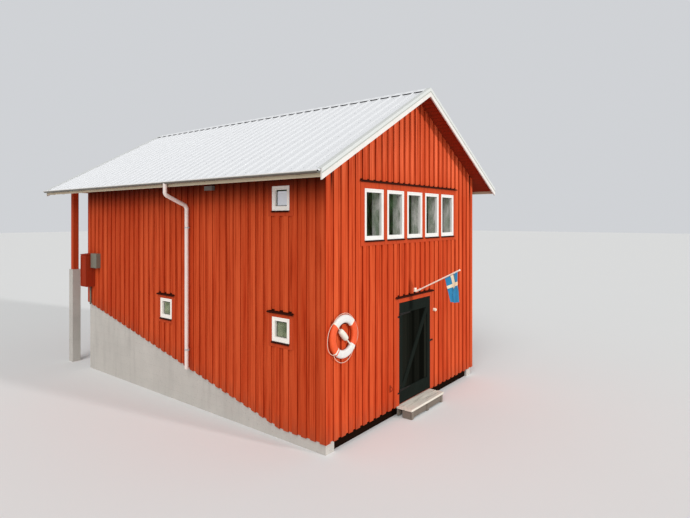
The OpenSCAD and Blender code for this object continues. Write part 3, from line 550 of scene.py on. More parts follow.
def paint_on_boards(f, light, dark, inside=None, eaves=False, faded=None):
    """Matt paint on sawn boards: long grain, patches and a rough sawn surface. Boards that carry values of
    their own have a colour for where the paint has faded, painted shade under the eaves and painted shade on
    their sides. With eaves, the side walls' paint gets painted shade under the eaves."""
    f.set(Specular_IOR_Level=0.08)
    shift = None if faded is None else f.attribute("tone")
    grain = f.noise(60.0, 4.0, 0.6, (1, 1, 0.05), shift)
    patches = f.noise(1.4, 3.0, 0.5, (1, 1, 0.45), shift)
    streaks = f.noise(19.0, 3.0, 0.6, (1, 1, 0.03), shift)
    amount = (grain * 0.25 + patches * 0.30 + streaks - 0.52) * 2.2
    if faded is not None:
        amount = amount * 0.8 + shift * 0.5 - 0.12
    paint = f.mix(amount.clamped(), dark, light)
    drips = f.ramp(streaks, (0.28, 1.0), (0.42, 0.0))
    paint = f.mix(drips * 0.45, paint, shade(dark, 0.45))
    if faded is not None:
        above = f.attribute("above_foot")
        high_up = f.ramp(above * 0.2, (0.84, 0.0), (0.98, 1.0))
        paint = f.mix(high_up * amount.clamped() * 0.8, paint, faded)
        splash = ((0.42 - above) * 2.6 + f.noise(5.0) * 0.9 - 0.75).clamped()
        paint = f.mix(splash * 0.42, paint, (0.16, 0.055, 0.030))
        # Painted shade under the eaves, darkest just under the rafters' feet
        paint = f.mix(f.ramp(f.attribute("below_eave"), *EAVE_SHADE), shade(dark, 0.03), paint)
        # Painted shade on the boards' sides, where the gaps between the boards lie in shade
        paint = f.mix(f.attribute("edge") * 0.8, paint, (0.24, 0.012, 0.001))
    x, y, z = f.axes()
    # Painted shade under the side walls' eaves
    if eaves:
        paint = f.mix(f.ramp(rafter_foot() - z, *EAVE_SHADE), shade(dark, 0.03), paint)
    if inside is not None:
        room = (abs(x) < WALL_IN_X + 0.002) * (abs(y) < REAR_IN_Y + 0.002)
        paint = f.mix(room, paint, inside)
    f.set(Base_Color=paint, Roughness=grain * 0.22 + 0.66)
    fibre = f.noise(210.0, 5.0, 0.65, (1, 1, 0.035), shift)
    f.bump(fibre * 0.7 + grain * 0.6, 0.5, 0.0016)


def plain_boards(f, base, darker=0.85, eaves=False):
    """Paint on boards in one colour and a darker tone of it."""
    paint_on_boards(f, base, shade(base, darker), eaves=eaves)


@maker
def red_boards(f, c):
    paint_on_boards(f, c.red, c.red_dark, faded=c.red_faded)


@maker
def red_wall(f, c, eaves=False):
    paint_on_boards(f, shade(c.red, 0.95), shade(c.red_dark, 0.9), inside=c.bare_wood, eaves=eaves)


@maker
def side_wall(f, c):
    red_wall(f, c, eaves=True)


@maker
def soffit(f, c):
    """Painted roof boards: they run along the house, with a dark line between them. Their red is darker than
    the walls', as painted shade under the roof.
    """
    f.set(Roughness=0.85, Specular_IOR_Level=0.08)
    line = abs((abs(f.axes()[0]) * (1.0 / SOFFIT_BOARD)).fraction() - 0.5)
    gap = f.ramp(line, (0.455, 0.0), (0.49, 1.0))
    grain = f.noise(45.0, 4.0, 0.6, (1, 0.05, 1))
    paint = f.mix(grain, shade(c.soffit_red, 0.75), shade(c.soffit_red, 1.2))
    f.set(Base_Color=f.mix(gap, paint, shade(c.soffit_red, 0.2)))
    f.bump(grain * 0.4 - gap, 0.6, 0.004)


def smooth_paint(f, base, dirt):
    """Brushed paint on planed wood: faint brush marks, a little grime and chalking."""
    marks = f.noise(95.0, 3.0, 0.6, (1, 1, 0.06))
    grime = f.ramp(f.noise(3.2, 5.0, 0.62), (0.42, 0.0), (0.8, 1.0))
    paint = f.mix(marks * 0.35, base, shade(base, 0.93))
    f.set(Base_Color=f.mix(grime * 0.35, paint, dirt), Roughness=marks * 0.2 + 0.45, Specular_IOR_Level=0.4)
    f.bump(marks, 0.25, 0.0008)


def black_paint(f, base, by_board=False):
    """Black paint on planed wood: long grain, and a little dust or a tone that differs by the board."""
    grain = f.noise(80.0, 4.0, 0.6, (1, 1, 0.04))
    if by_board:
        board = f.mix(f.attribute("tone"), shade(base, 0.5), shade(base, 3.2))
        paint = f.mix(grain * 0.4, board, shade(base, 1.2))
    else:
        dust = f.ramp(f.noise(2.6, 4.0, 0.6, (1, 1, 0.6)), (0.45, 0.0), (0.85, 1.0))
        paint = f.mix(dust * 0.25, f.mix(grain, shade(base, 0.7), shade(base, 1.4)), shade(base, 2.2))
    f.set(Base_Color=paint, Roughness=grain * 0.2 + 0.7, Specular_IOR_Level=0.0)
    f.bump(grain, 0.45, 0.0012)


def coated_steel(f, base, roughness, streak, metallic=0.0, gloss=0.5):
    """Coated sheet steel: rain streaks, dust in the folds and a faint ripple. With streak 0 the caller gives
    the colour."""
    dust = f.noise(0.9, 4.0, 0.6)
    streaks = f.noise(7.0, 4.0, 0.62, (0.12, 1, 0.3))
    film = (dust * 0.5 + streaks * 0.6 - 0.3).clamped()
    f.set(Metallic=metallic, Specular_IOR_Level=gloss, Roughness=film * 0.25 + roughness)
    if streak:
        speck = f.ramp(f.noise(26.0, 3.0, 0.7), (0.62, 0.0), (0.78, 1.0))
        paint = f.mix(film * streak, base, shade(base, 0.72))
        f.set(Base_Color=f.mix(speck * 0.10, paint, shade(base, 0.55)))
    f.bump(dust, 0.06, 0.01)


@maker
def roof_sheet(f, c):
    """Painted steel, darker on the sloping sides of the ribs by the distance from a rib's middle: painted
    shade that tones down the light they catch.
    """
    coated_steel(f, c.roof, 0.5, 0)
    first = float(rib_places()[0])
    away = abs(((f.axes()[1] - first) * (1.0 / RIB_PITCH) + 0.5).fraction() - 0.5)
    # Painted shade on the ribs' sloping sides
    side = f.ramp(away, (0.048, 0.0), (0.066, 1.0), (0.124, 1.0), (0.140, 0.0))
    f.set(Base_Color=f.mix(side * 0.9, c.roof, shade(c.roof, 0.70)))


@maker
def verge_steel(f, c):
    """Coated steel whose folded hem, by its depth over the underside of the roof boards, is darker: painted
    shadow along the strip's lower lip.
    """
    coated_steel(f, c.verge_steel, 0.45, 0)
    x, _, z = f.axes()
    depth = (z + abs(x) * math.tan(PITCH) - float(ROOF_APEX)) * math.cos(PITCH)
    # Painted shadow along the lower lip
    hem = f.ramp(depth * 10.0, (0.16, 1.0), (0.26, 0.0))
    paint = f.mix(f.noise(7.0, 4.0, 0.62) * 0.3, c.verge_steel, shade(c.verge_steel, 0.72))
    f.set(Base_Color=f.mix(hem * 0.85, paint, (0.33, 0.35, 0.30)))


@maker
def gutter_steel(f, c):
    """White steel whose round belly is darkened below the rim: painted shade on the belly's underside."""
    coated_steel(f, c.steel_white, 0.32, 0)
    rim = float(high("gutters")[2]) - 0.006
    # Painted shade: the belly darkens below the rim
    below = ((rim - f.axes()[2]) * 70.0 + f.noise(3.0, 4.0, 0.6) * 0.6 - 0.3).clamped()
    f.set(Base_Color=f.mix(below * 0.92, c.steel_white, (0.055, 0.050, 0.030)))


@maker
def iron(f, c):
    rust = f.ramp(f.noise(34.0, 5.0, 0.7), (0.55, 0.0), (0.72, 1.0))
    paint = f.mix(rust * 0.2, c.iron, (0.075, 0.028, 0.012))
    f.set(Base_Color=paint, Roughness=rust * 0.3 + 0.45, Specular_IOR_Level=0.05)
    f.bump(f.noise(70.0, 3.0, 0.6), 0.4, 0.0015)


def cast_concrete(f, base, gloss=0.25):
    """Cast concrete: cloudy tone, damp marks, board marks and small pores."""
    cloud = f.noise(1.1, 5.0, 0.6)
    sand = f.noise(120.0, 4.0, 0.7)
    pores = f.ramp(f.noise(46.0, 2.0, 0.6), (0.64, 0.0), (0.70, 1.0))
    runs = f.ramp(f.noise(6.0, 4.0, 0.6, (1, 1, 0.12)), (0.50, 0.0), (0.78, 1.0))
    lift = abs((f.axes()[2] * 5.0 + cloud * 0.12).fraction() - 0.5)
    joint = f.ramp(lift, (0.480, 0.0), (0.495, 1.0))
    tone = (cloud * 0.75 + sand * 0.35 - 0.05).clamped()
    skin = f.mix(tone, shade(base, 0.72), shade(base, 1.18))
    for mask, factor in ((runs * 0.30, 0.52), (pores * 0.55, 0.40), (joint * 0.30, 0.6)):
        skin = f.mix(mask, skin, shade(base, factor))
    f.set(Base_Color=skin, Roughness=sand * 0.15 + 0.82, Specular_IOR_Level=gloss)
    f.bump(sand * 0.4 - pores - joint * 0.6 + cloud * 0.4, 0.55, 0.003)


def bare_planks(f, base, along, rough=0.8):
    """Bare wood: growth rings drawn out along the plank, silver patches and checks."""
    shift = f.attribute("tone")
    grain = f.noise(48.0, 5.0, 0.62, along, shift)
    silver = f.noise(4.0, 4.0, 0.6, shift=shift)
    checks = f.ramp(f.noise(30.0, 3.0, 0.5, along, shift), (0.58, 0.0), (0.64, 1.0))
    wood = f.mix((grain * 0.9 + silver * 0.5 - 0.25).clamped(), shade(base, 0.70), shade(base, 1.20))
    # A tone near 0 darkens the wood strongly: random tone on the planks, painted shade on the step's parts
    # under them
    wood = f.mix(shift, f.mix(0.86, wood, (0.055, 0.030, 0.017)), wood)
    wood = f.mix(checks * 0.55, wood, shade(base, 0.28))
    f.set(Base_Color=wood, Roughness=grain * 0.15 + rough, Specular_IOR_Level=0.25)
    f.bump(grain * 0.5 - checks, 0.7, 0.003)


def window_glass(f):
    """Old window glass with a faint ripple."""
    f.set(Roughness=0.04, Specular_IOR_Level=0.15)
    f.bump(f.noise(1.6, 1.0, 0.5), 0.03, 0.01)


@maker
def pane(f, c):
    """Nearly clear glass with green clouds, a painted reflection, which make it less clear where they lie."""
    window_glass(f)
    # Painted reflection: green clouds on the glass
    film = f.noise(5.0, 4.0, 0.6, (1, 1, 0.6))
    cloud = f.ramp(film, (0.42, 0.0), (0.62, 1.0))
    f.set(Base_Color=f.mix(film, (0.008, 0.022, 0.006), (0.06, 0.13, 0.045)), Alpha=cloud * 0.30 + 0.04)


@maker
def side_pane(f, c):
    """The small panes carry a painted reflection, pale under the eaves and green below, which ends short of
    their edges; the dark border round it is painted shadow of the frame.
    """
    window_glass(f)
    _, y, z = f.axes()
    inside = None
    for a, b in separate_boxes("side_window_glass", side=-1):
        part = (y > float(a[1]) + 0.024) * (y < float(b[1]) - 0.024)
        part = part * (z > float(a[2]) + 0.012) * (z < float(b[2]) - 0.026)
        inside = part if inside is None else inside + part
    upper = z > BETWEEN_FLOORS
    # Painted reflection: pale sky in the upper panes, green in the lower ones
    film = f.noise(9.0, 3.0, 0.6, (1, 1, 0.6))
    pale = f.mix(film, (0.84, 0.89, 1.0), (0.96, 0.98, 1.0))
    green = f.mix(f.ramp(film, (0.35, 0.0), (0.65, 1.0)), (0.17, 0.22, 0.12), (0.48, 0.54, 0.33))
    # Painted shadow: a dark border round each pane
    shown = f.mix(inside, (0.04, 0.05, 0.03), f.mix(upper, green, pale))
    f.set(Base_Color=shown, Alpha=upper * 0.52 + 0.40)


@maker
def buoy_shell(f, c):
    """Lifebuoy shell: white segments above and below by the angle round its middle, orange at the sides."""
    middle = (low("lifebuoy") + high("lifebuoy")) / 2
    x, _, z = f.axes()
    angle = z.math("ARCTAN2", z - float(middle[2]), x - float(middle[0]))
    white = None
    for centre, half in BUOY_WHITE:
        part = z.math("COSINE", angle - math.radians(centre)) > math.cos(math.radians(half))
        white = part if white is None else (white + part).clamped()
    worn = f.noise(14.0, 4.0, 0.65)
    orange = f.mix(worn, shade(c.buoy_orange, 0.86), shade(c.buoy_orange, 1.12))
    pale = f.mix((worn * 1.6 - 0.5).clamped(), c.buoy_white, shade(c.buoy_white, 0.80))
    f.set(Base_Color=f.mix(white, orange, pale), Roughness=worn * 0.3 + 0.35, Specular_IOR_Level=0.3)
    f.bump(worn, 0.25, 0.002)


@maker
def closer_foam(f, c):
    # Near-black foam: painted shade in the rib ends and under the ridge cap
    cells = f.noise(160.0, 3.0, 0.6)
    paint = f.mix(cells, (0.006, 0.006, 0.006), (0.020, 0.020, 0.020))
    f.set(Base_Color=paint, Roughness=0.9, Specular_IOR_Level=0.0)


@maker
def foam(f, c):
    soiled = f.noise(10.0, 4.0, 0.6)
    f.set(Base_Color=f.mix(soiled, (0.84, 0.80, 0.70), (0.66, 0.62, 0.52)), Roughness=0.7)
    f.bump(f.noise(160.0, 3.0, 0.6), 0.35, 0.001)


@maker
def rope(f, c):
    fibre = f.noise(420.0, 3.0, 0.7)
    worn = (f.noise(8.0, 3.0, 0.6) * 0.8 + fibre * 0.3 - 0.1).clamped()
    f.set(Base_Color=f.mix(worn, shade(c.rope, 0.8), shade(c.rope, 1.15)), Roughness=0.85, Sheen_Weight=0.3)
    f.bump(fibre, 0.5, 0.0006)


@maker
def flag_cloth(f, c):
    """Woven cloth: the cross comes from the cloth's own map, with a weave of fine threads."""
    across, down, _ = f.axes(f.add("ShaderNodeUVMap", {"uv_map": "cloth"}))
    cross = ((abs(across - 0.5) < UPRIGHT_HALF) + (abs(down - CROSS_DOWN) < BAR_HALF)).clamped()
    threads = abs((across * 210.0).fraction() - 0.5) + abs((down * 330.0).fraction() - 0.5)
    blue = f.mix(f.noise(6.0, 3.0, 0.6), shade(c.flag_blue, 0.82), shade(c.flag_blue, 1.2))
    f.set(Base_Color=f.mix(cross, blue, c.flag_yellow), Roughness=0.75, Sheen_Weight=0.25)
    f.bump(threads, 0.25, 0.0006)


@maker
def stage_floor(f, c):
    pale = tuple(bpy.context.scene.boathouse_stage.floor)
    tone = f.mix(f.noise(0.35, 2.0, 0.5) * 0.5, pale, shade(pale, 0.98))
    f.set(Base_Color=tone, Roughness=0.9, Specular_IOR_Level=0.1)


# Finishes of one kind that differ by a colour of the house and some numbers
LIKE_FINISHES = {
    "red_trim": (plain_boards, "trim_red"),
    "side_trim": (plain_boards, "trim_red", 0.85, True),
    "cabinet_red": (plain_boards, "cabinet", 0.75),
    "white_paint": (smooth_paint, "white", (0.62, 0.57, 0.50)),
    "side_white": (smooth_paint, "side_white", (0.72, 0.66, 0.58)),
    "verge_paint": (smooth_paint, "verge", (0.50, 0.46, 0.42)),
    "lining_paint": (smooth_paint, "lining", (0.80, 0.77, 0.68)),
    "pole_paint": (smooth_paint, "pole", (0.90, 0.78, 0.62)),
    "cream_paint": (smooth_paint, "cream", (0.44, 0.34, 0.22)),
    "door_paint": (black_paint, "door_black"),
    "board_paint": (black_paint, "board_black", True),
    "white_steel": (coated_steel, "pipe_white", 0.32, 0.30),
    "dark_strip": (coated_steel, "dark_strip", 0.6, 0.5, 0.0, 0.02),
    "zinc": (coated_steel, "zinc", 0.38, 0.5, 0.85),
    "meter_grey": (coated_steel, "meter_grey", 0.45, 0.6),
    "lamp_shell": (coated_steel, "lamp_grey", 0.4, 0.4),
    "cream_shell": (coated_steel, "lamp_cream", 0.4, 0.4),
    "hook_paint": (coated_steel, "hook_red", 0.7, 0.4, 0.0, 0.05),
    "concrete": (cast_concrete, "concrete"),
    "recess": (cast_concrete, "recess", 0.0),
    "step_wood": (bare_planks, "grey_wood", (0.045, 1.0, 1.0)),
    "floor_wood": (bare_planks, "bare_wood", (1.0, 0.045, 1.0), 0.6),
}

# Nodes of the frame by the finish they get
FINISH_NODES = {
    "recess": "foundation_front",
    "concrete": "foundation_left foundation_right foundation_rear floor_lower porch_piers",
    "floor_wood": "floor_upper",
    "side_wall": "wall_left wall_right",
    "red_wall": "wall_rear wall_front_left wall_front_right wall_front_gable",
    "soffit": "rafters roof_boards_left roof_boards_right",
    "roof_sheet": "roof_sheet_left roof_sheet_right ridge_cap",
    "verge_paint": "verge_boards",
    "verge_steel": "verge_strips",
    "cream_paint": "fascia_boards",
    "gutter_steel": "gutters",
    "white_steel": "downpipes",
    "zinc": "downpipe_clips",
    "red_trim": "porch_posts porch_beams gable_window_casing door_frame door_casing rear_door_casing",
    "white_paint": "gable_window_frames",
    "pane": "gable_window_glass",
    "side_white": "side_window_frames",
    "side_pane": "side_window_glass",
    "side_trim": "side_window_casings",
    "dark_strip": "head_strips window_sills",
    "door_paint": "door_leaf door_rails rear_door",
    "iron": "door_hinges door_hasp door_ironwork lifebuoy_hook",
    "step_wood": "door_step",
    "buoy_shell": "lifebuoy",
    "rope": "lifebuoy_line",
    "foam": "lifebuoy_float",
    "pole_paint": "flag_bracket flagpole",
    "flag_cloth": "flag",
    "cabinet_red": "meter_cabinet",
    "meter_grey": "meter_box",
    "lamp_shell": "eaves_lamp",
    "cream_shell": "door_lamp",
}

# Middle and half width, in degrees, of the lifebuoy's white segments
BUOY_WHITE = ((91.0, 45.0), (278.0, 46.0))
# Half height of the plate behind the lifebuoy's peg, and radius of the peg
PLATE_HALF = 0.03
PEG_RADIUS = 0.0083
# Angles of the lifebuoy's four bands
BAND_ANGLES = (45.0, 135.0, 225.0, 315.0)
# Loops of the grab line: middle angle, slack, how far they sink and the shape of their belly
LOOPS = (
    (0.0, 0.022, 0.012, 0.9),
    (90.0, 0.017, 0.0, 0.8),
    (180.0, 0.060, 0.034, 0.75),
    (270.0, 0.066, 0.0, 0.8),
)
# Rise of the flagpole in degrees
POLE_RISE = 27.0
# Place of the cross's bar down the flag, as a share of its length, and half width of its two bars
CROSS_DOWN = 0.375
UPRIGHT_HALF = 0.1
BAR_HALF = 0.0625


# Boards on the walls


class Wall:
    """A wall face: s runs along it, d stands out of it and z is the height."""

    # sheltered is the height from which the painted eave shade is measured, and edge is the strength of the
    # painted shade on the boards' sides
    def __init__(self, name, origin, along, out, half, foot, top, sheltered, edge):
        self.name, self.half, self.foot, self.top = name, half, foot, top
        self.sheltered, self.edge = sheltered, edge
        self.origin, self.along, self.out = (np.array(v, float) for v in (origin, along, out))

    def place(self, s, d, z):
        """Points of the house from s, d and z."""
        return self.origin + s[..., None] * self.along + d[..., None] * self.out + z[..., None] * UP

    def span(self, node, over=0.0, foot=None):
        """Low and high s and z of a node's box on this wall, with over added on top. A foot that is given
        takes the place of the low z."""
        corners = np.array([low(node), high(node)]) - self.origin
        s = np.sort(corners @ self.along)
        return s[0], s[1], corners[0][2] if foot is None else foot, corners[1][2] + over


def wall_faces(boards):
    """The four faces that carry upright boards, with the lines of their feet and tops."""
    slope = (REAR_FOOT_Z - FOOT_Z) / (REAR_Y - FRONT_Y - boards.level_foot)
    corner = WALL_X + boards.thickness
    eave = rafter_foot()

    def level(z):
        return lambda s: np.full_like(s, z)

    def rising(s):
        return FOOT_Z + np.maximum(0.0, s - FRONT_Y - boards.level_foot) * slope - BOARD_DROP

    def under_roof(s):
        return roof_z(s) - boards.roof_gap

    # Gables get no painted eave shade and full painted shade on the boards' sides; side walls get painted
    # eave shade from the rafters' feet and less on the sides
    gable = (under_roof, FAR_UP, 1.0)
    side = (REAR_Y, rising, level(eave), eave, 0.62)
    front_foot, rear_foot = level(FOOT_Z - BOARD_DROP), level(REAR_FOOT_Z - BOARD_DROP)
    return [
        Wall("front_boards", (0, FRONT_Y, 0), (1, 0, 0), (0, -1, 0), corner, front_foot, *gable),
        Wall("rear_boards", (0, REAR_Y, 0), (1, 0, 0), (0, 1, 0), corner, rear_foot, *gable),
        Wall("left_boards", (-WALL_X, 0, 0), (0, 1, 0), (-1, 0, 0), *side),
        Wall("right_boards", (WALL_X, 0, 0), (0, 1, 0), (1, 0, 0), *side),
    ]


def cut(strips, hole, least):
    """Strips (s0, s1, z0, z1, board) less a rectangle: what stays below, above and at both sides of it."""
    kept = []
    h0, h1, low_z, high_z = hole
    for s0, s1, z0, z1, board in strips:
        if s1 <= h0 or s0 >= h1 or z1 <= low_z or z0 >= high_z:
            kept.append((s0, s1, z0, z1, board))
            continue
        if z0 < low_z:
            kept.append((s0, s1, z0, low_z, board))
        if z1 > high_z:
            kept.append((s0, s1, high_z, z1, board))
        for a, b in ((s0, h0), (h1, s1)):
            if b - a > least:
                kept.append((a, b, max(z0, low_z), min(z1, high_z), board))
    return kept


def add_boards(wall, pitch, holes, boards, draws):
    """Over-boards of one wall: each is a closed prism with broken outer edges, cut round the holes."""
    count = int(round((2 * wall.half - boards.width) / pitch)) + 1
    middles = np.linspace(-wall.half + boards.width / 2, wall.half - boards.width / 2, count)
    spread = draws.uniform(-0.5, 0.5, (4, count))
    lefts = middles - boards.width / 2 + spread[0] * boards.width_spread
    rights = middles + boards.width / 2 + spread[1] * boards.width_spread
    lefts[0], rights[-1] = -wall.half, wall.half
    strips = [(a, b, -FAR_UP, FAR_UP, i) for i, (a, b) in enumerate(zip(lefts, rights))]
    for hole in holes:
        strips = cut(strips, hole, boards.least)
    s0, s1, z0, z1, board = np.array(strips).T
    board = board.astype(int)
    thick = boards.thickness + spread[2][board] * boards.depth_spread
    feet = spread[3][board] * boards.foot_spread
    tone = draws.uniform(0.0, 1.0, count)[board]
    c = boards.chamfer
    none = np.zeros_like(s0)
    s = np.stack([s0, s1, s1, s1 - c, s0 + c, s0], 1)
    d = np.stack([none, none, thick - c, thick, thick, thick - c], 1)
    line = wall.foot(s)
    foot_z = np.maximum(z0[:, None], line + feet[:, None])
    head_z = np.minimum(z1[:, None], wall.top(s))
    foot, head = wall.place(s, d, foot_z), wall.place(s, d, head_z)
    # Strength of the painted shade: full on the side faces, less on the chamfers, none on the face
    edge = np.broadcast_to(wall.edge * np.array([1.0, 1.0, 0.7, 0.0, 0.0, 0.7]), s.shape)
    if np.dot(np.cross(wall.along, wall.out), UP) < 0:
        flipped = [a[:, ::-1] for a in (foot, head, line, foot_z, head_z, edge)]
        foot, head, line, foot_z, head_z, edge = flipped
    # Values for the paint: height above the foot, and for the painted shade the depth below the eave line and
    # the strength on the boards' sides
    ends = {
        "above_foot": (foot_z - line, head_z - line),
        "below_eave": (wall.sheltered - foot_z, wall.sheltered - head_z),
        "edge": (edge, edge),
    }
    attributes = {key: np.concatenate(pair, axis=1).ravel() for key, pair in ends.items()}
    attributes["tone"] = np.repeat(tone, 2 * s.shape[1])
    add_piece(wall.name, prisms(foot, head), "red_boards", attributes=attributes)


class BOATHOUSE_OT_cladding(Operator):
    """Upright over-boards on the four walls, cut round windows, doors and fittings"""

    bl_idname = "boathouse.cladding"
    bl_label = "Cladding"

    def execute(self, context):
        boards = context.scene.boathouse_boards
        draws = np.random.default_rng(boards.seed)
        front, rear, left, right = wall_faces(boards)
        step_gap = 0.004
        front_holes = [
            front.span("gable_window_casing", STRIP_OVER),
            front.span("door_casing", STRIP_OVER, -FAR_UP),
            front.span("door_step", step_gap, -FAR_UP),
            front.span("flag_bracket"),
            front.span("lifebuoy_hook"),
        ]
        add_boards(front, boards.gable_pitch, front_holes, boards, draws)
        beam_z = low("porch_beams")[2]
        rear_holes = [
            rear.span("rear_door_casing"),
            (-WALL_X, BEAM_WIDTH - WALL_X, beam_z, FAR_UP),
            (WALL_X - BEAM_WIDTH, WALL_X, beam_z, FAR_UP),
        ]
        add_boards(rear, boards.gable_pitch, rear_holes, boards, draws)
        casings = small_casings()
        left_holes = casings + [left.span(node) for node in ("meter_cabinet", "meter_box", "eaves_lamp")]
        add_boards(left, boards.side_pitch, left_holes, boards, draws)
        add_boards(right, boards.side_pitch, casings, boards, draws)
        return {"FINISHED"}


def separate_boxes(node, side=0):
    """Boxes of a node's separate pieces, found by joining the corners that its faces share. Side keeps
    those whose x has its sign."""
    mesh = NODES[node].data
    points = corners_of(node)
    _, same = np.unique(np.round(points, 5), axis=0, return_inverse=True)
    same = same.ravel()
    edges = np.zeros(len(mesh.edges) * 2, np.int32)
    mesh.edges.foreach_get("vertices", edges)
    edges = same[edges.reshape(-1, 2)]
    label = np.arange(same.max() + 1)
    while True:
        least = np.minimum(label[edges[:, 0]], label[edges[:, 1]])
        new = label.copy()
        np.minimum.at(new, edges[:, 0], least)
        np.minimum.at(new, edges[:, 1], least)
        new = new[new]
        if np.array_equal(new, label):
            break
        label = new
    group = label[same]
    found = []
    for key in np.unique(group):
        part = points[group == key]
        if side == 0 or part[:, 0].mean() * side > 0:
            found.append((part.min(0), part.max(0)))
    return found


def small_casings():
    """Holes in the side walls' boards for the casings of the small windows, two of them with a strip over."""
    strips = separate_boxes("head_strips", side=-1)
    overlap = 0.022
    holes = []
    for a, b in separate_boxes("side_window_casings", side=-1):
        has_strip = any(abs(lo[2] + overlap - b[2]) < 0.01 and abs(lo[1] - a[1]) < 0.05 for lo, _ in strips)
        holes.append((a[1], b[1], a[2], b[2] + (STRIP_OVER if has_strip else 0.0)))
    return holes


# Window linings


class BOATHOUSE_OT_linings(Operator):
    """White lining boards from the window frames to the room, seen through the panes"""

    bl_idname = "boathouse.linings"
    bl_label = "Window linings"

    def execute(self, context):
        board, deep = 0.014, 0.06
        inner = WALL_IN_X - deep
        rings = []
        for a, b in separate_boxes("gable_window_frames"):
            block = (a[0], b[1], a[2]), (b[0], FRONT_IN_Y + deep, b[2])
            rings.append(board_ring(*block, 1, board))
        for a, b in separate_boxes("side_window_frames"):
            x0, x1 = (b[0], -inner) if a[0] < 0 else (inner, a[0])
            rings.append(board_ring((x0, a[1], a[2]), (x1, b[1], b[2]), 0, board))
        shape = boxes(*np.concatenate(rings, axis=1))
        add_piece("window_linings", shape, "lining_paint")
        return {"FINISHED"}


# Door


class BOATHOUSE_OT_door(Operator):
    """Upright boards on both faces of the door leaf and bolt heads on its hinge bands"""

    bl_idname = "boathouse.door"
    bl_label = "Door boards"

    def execute(self, context):
        leaf_low, leaf_high = low("door_leaf"), high("door_leaf")
        rails_y = low("door_rails")[1]
        stile, top_rail, bottom_rail = 0.12, 0.215, 0.27
        count, groove, proud = 10, 0.007, 0.006
        x0, x1 = leaf_low[0] + stile - 0.002, leaf_high[0] - stile + 0.002
        edges = np.linspace(x0, x1, count + 1)
        z0, z1 = leaf_low[2] + bottom_rail - 0.002, leaf_high[2] - top_rail + 0.002
        outside = leaf_face(edges, groove, leaf_low[1], -proud, z0, z1)
        margin, inner_proud, inner_edges = 0.03, 0.003, 12
        inner = np.linspace(leaf_low[0] + margin, leaf_high[0] - margin, inner_edges)
        inner_z = (leaf_low[2] + margin, leaf_high[2] - margin)
        shape = many([outside, leaf_face(inner, groove, leaf_high[1], inner_proud, *inner_z)])
        draws = np.random.default_rng(5)
        tones = np.repeat(draws.uniform(0.0, 1.0, len(shape[0]) // 12), 12)
        add_piece("door_boards", shape, "board_paint", body="door",
            attributes={"tone": tones})
        places = []
        for a, b in separate_boxes("door_hinges"):
            middle = (a[2] + b[2]) / 2
            places += [(x, rails_y - 0.004, middle) for x in np.linspace(a[0] + 0.06, b[0] - 0.03, 4)]
        heads = domes(places, (0, -1, 0), 0.009, 0.005, sides=10)
        add_piece("hinge_bolts", heads, "iron", body="door", smooth=True)
        return {"FINISHED"}


def leaf_face(edges, groove, y, proud, z0, z1):
    """Boards side by side on a leaf's face: prisms with sloping long edges, and so grooves between them."""
    a, b = edges[:-1] + 0.0005, edges[1:] - 0.0005
    half = groove / 2
    x = np.stack([a, b, b, b - half, a + half, a], 1)
    d = np.array([0.0, 0.0, 0.4, 1.0, 1.0, 0.4]) * proud
    foot = np.stack([x, np.broadcast_to(y + d, x.shape), np.full_like(x, z0)], 2)
    head = foot.copy()
    head[:, :, 2] = z1
    if proud < 0:
        foot, head = foot[:, ::-1], head[:, ::-1]
    return prisms(foot, head)


# Roof


class BOATHOUSE_OT_roof_screws(Operator):
    """Rows of screw heads that hold the steel sheets, beside each rib, a washer's thickness off the sheets"""

    bl_idname = "boathouse.roof_screws"
    bl_label = "Roof screws"

    def execute(self, context):
        y0, y1 = low("roof_sheet_left")[1], high("roof_sheet_left")[1]
        sheet_flat, washer = 0.0503, 0.003
        depth = sheet_flat + washer
        count = int((y1 - y0) / RIB_PITCH)
        ys = (y0 + y1) / 2 + (np.arange(count) - (count - 1) / 2) * RIB_PITCH
        from_ridge, from_eave, row_count = 0.24, 0.12, 6
        rows = np.linspace(from_ridge, EAVE_X / math.cos(PITCH) - from_eave, row_count)
        run, along = (a.ravel()[:, None] for a in np.meshgrid(rows, ys, indexing="ij"))
        places, outs = [], []
        for side in (-1.0, 1.0):
            out, slope = slope_directions(side)
            places.append(RIDGE + depth * out + run * slope + along * np.array([0.0, 1.0, 0.0]))
            outs.append(np.broadcast_to(out, places[-1].shape))
        radius, height = 0.009, 0.007
        heads = domes(np.concatenate(places), np.concatenate(outs), radius, height, sides=6)
        add_piece("roof_screws", heads, "zinc", smooth=True)
        return {"FINISHED"}


class BOATHOUSE_OT_rib_closers(Operator):
    """Near-black foam closers in the lower ends of the sheets' ribs, and between the ribs under the ridge
    cap: they stand in for the shade in these openings
    """

    bl_idname = "boathouse.rib_closers"
    bl_label = "Rib closers"

    def execute(self, context):
        ys = rib_places()
        foot, top, sheet_top, gap = 0.033, 0.0155, 0.0733, 0.004
        end = (high("roof_sheet_right")[0] - sheet_top * math.sin(PITCH)) / math.cos(PITCH)
        across = np.stack([ys - foot, ys + foot, ys + top, ys - top], 1)
        rib_base, rib_top = 0.0508, 0.0700
        shapes = closers(across, rib_base, rib_top, end - 0.085, end - 0.004)
        a, b = ys[:-1], ys[1:]
        between = np.stack([a + foot + gap, b - foot - gap, b - top - gap, a + top + gap], 1)
        cap_base, cap_top, cap_start, cap_end = 0.0535, 0.0725, 0.085, 0.115
        shapes += closers(between, cap_base, cap_top, cap_start, cap_end)
        add_piece("rib_closers", many(shapes), "closer_foam")
        return {"FINISHED"}


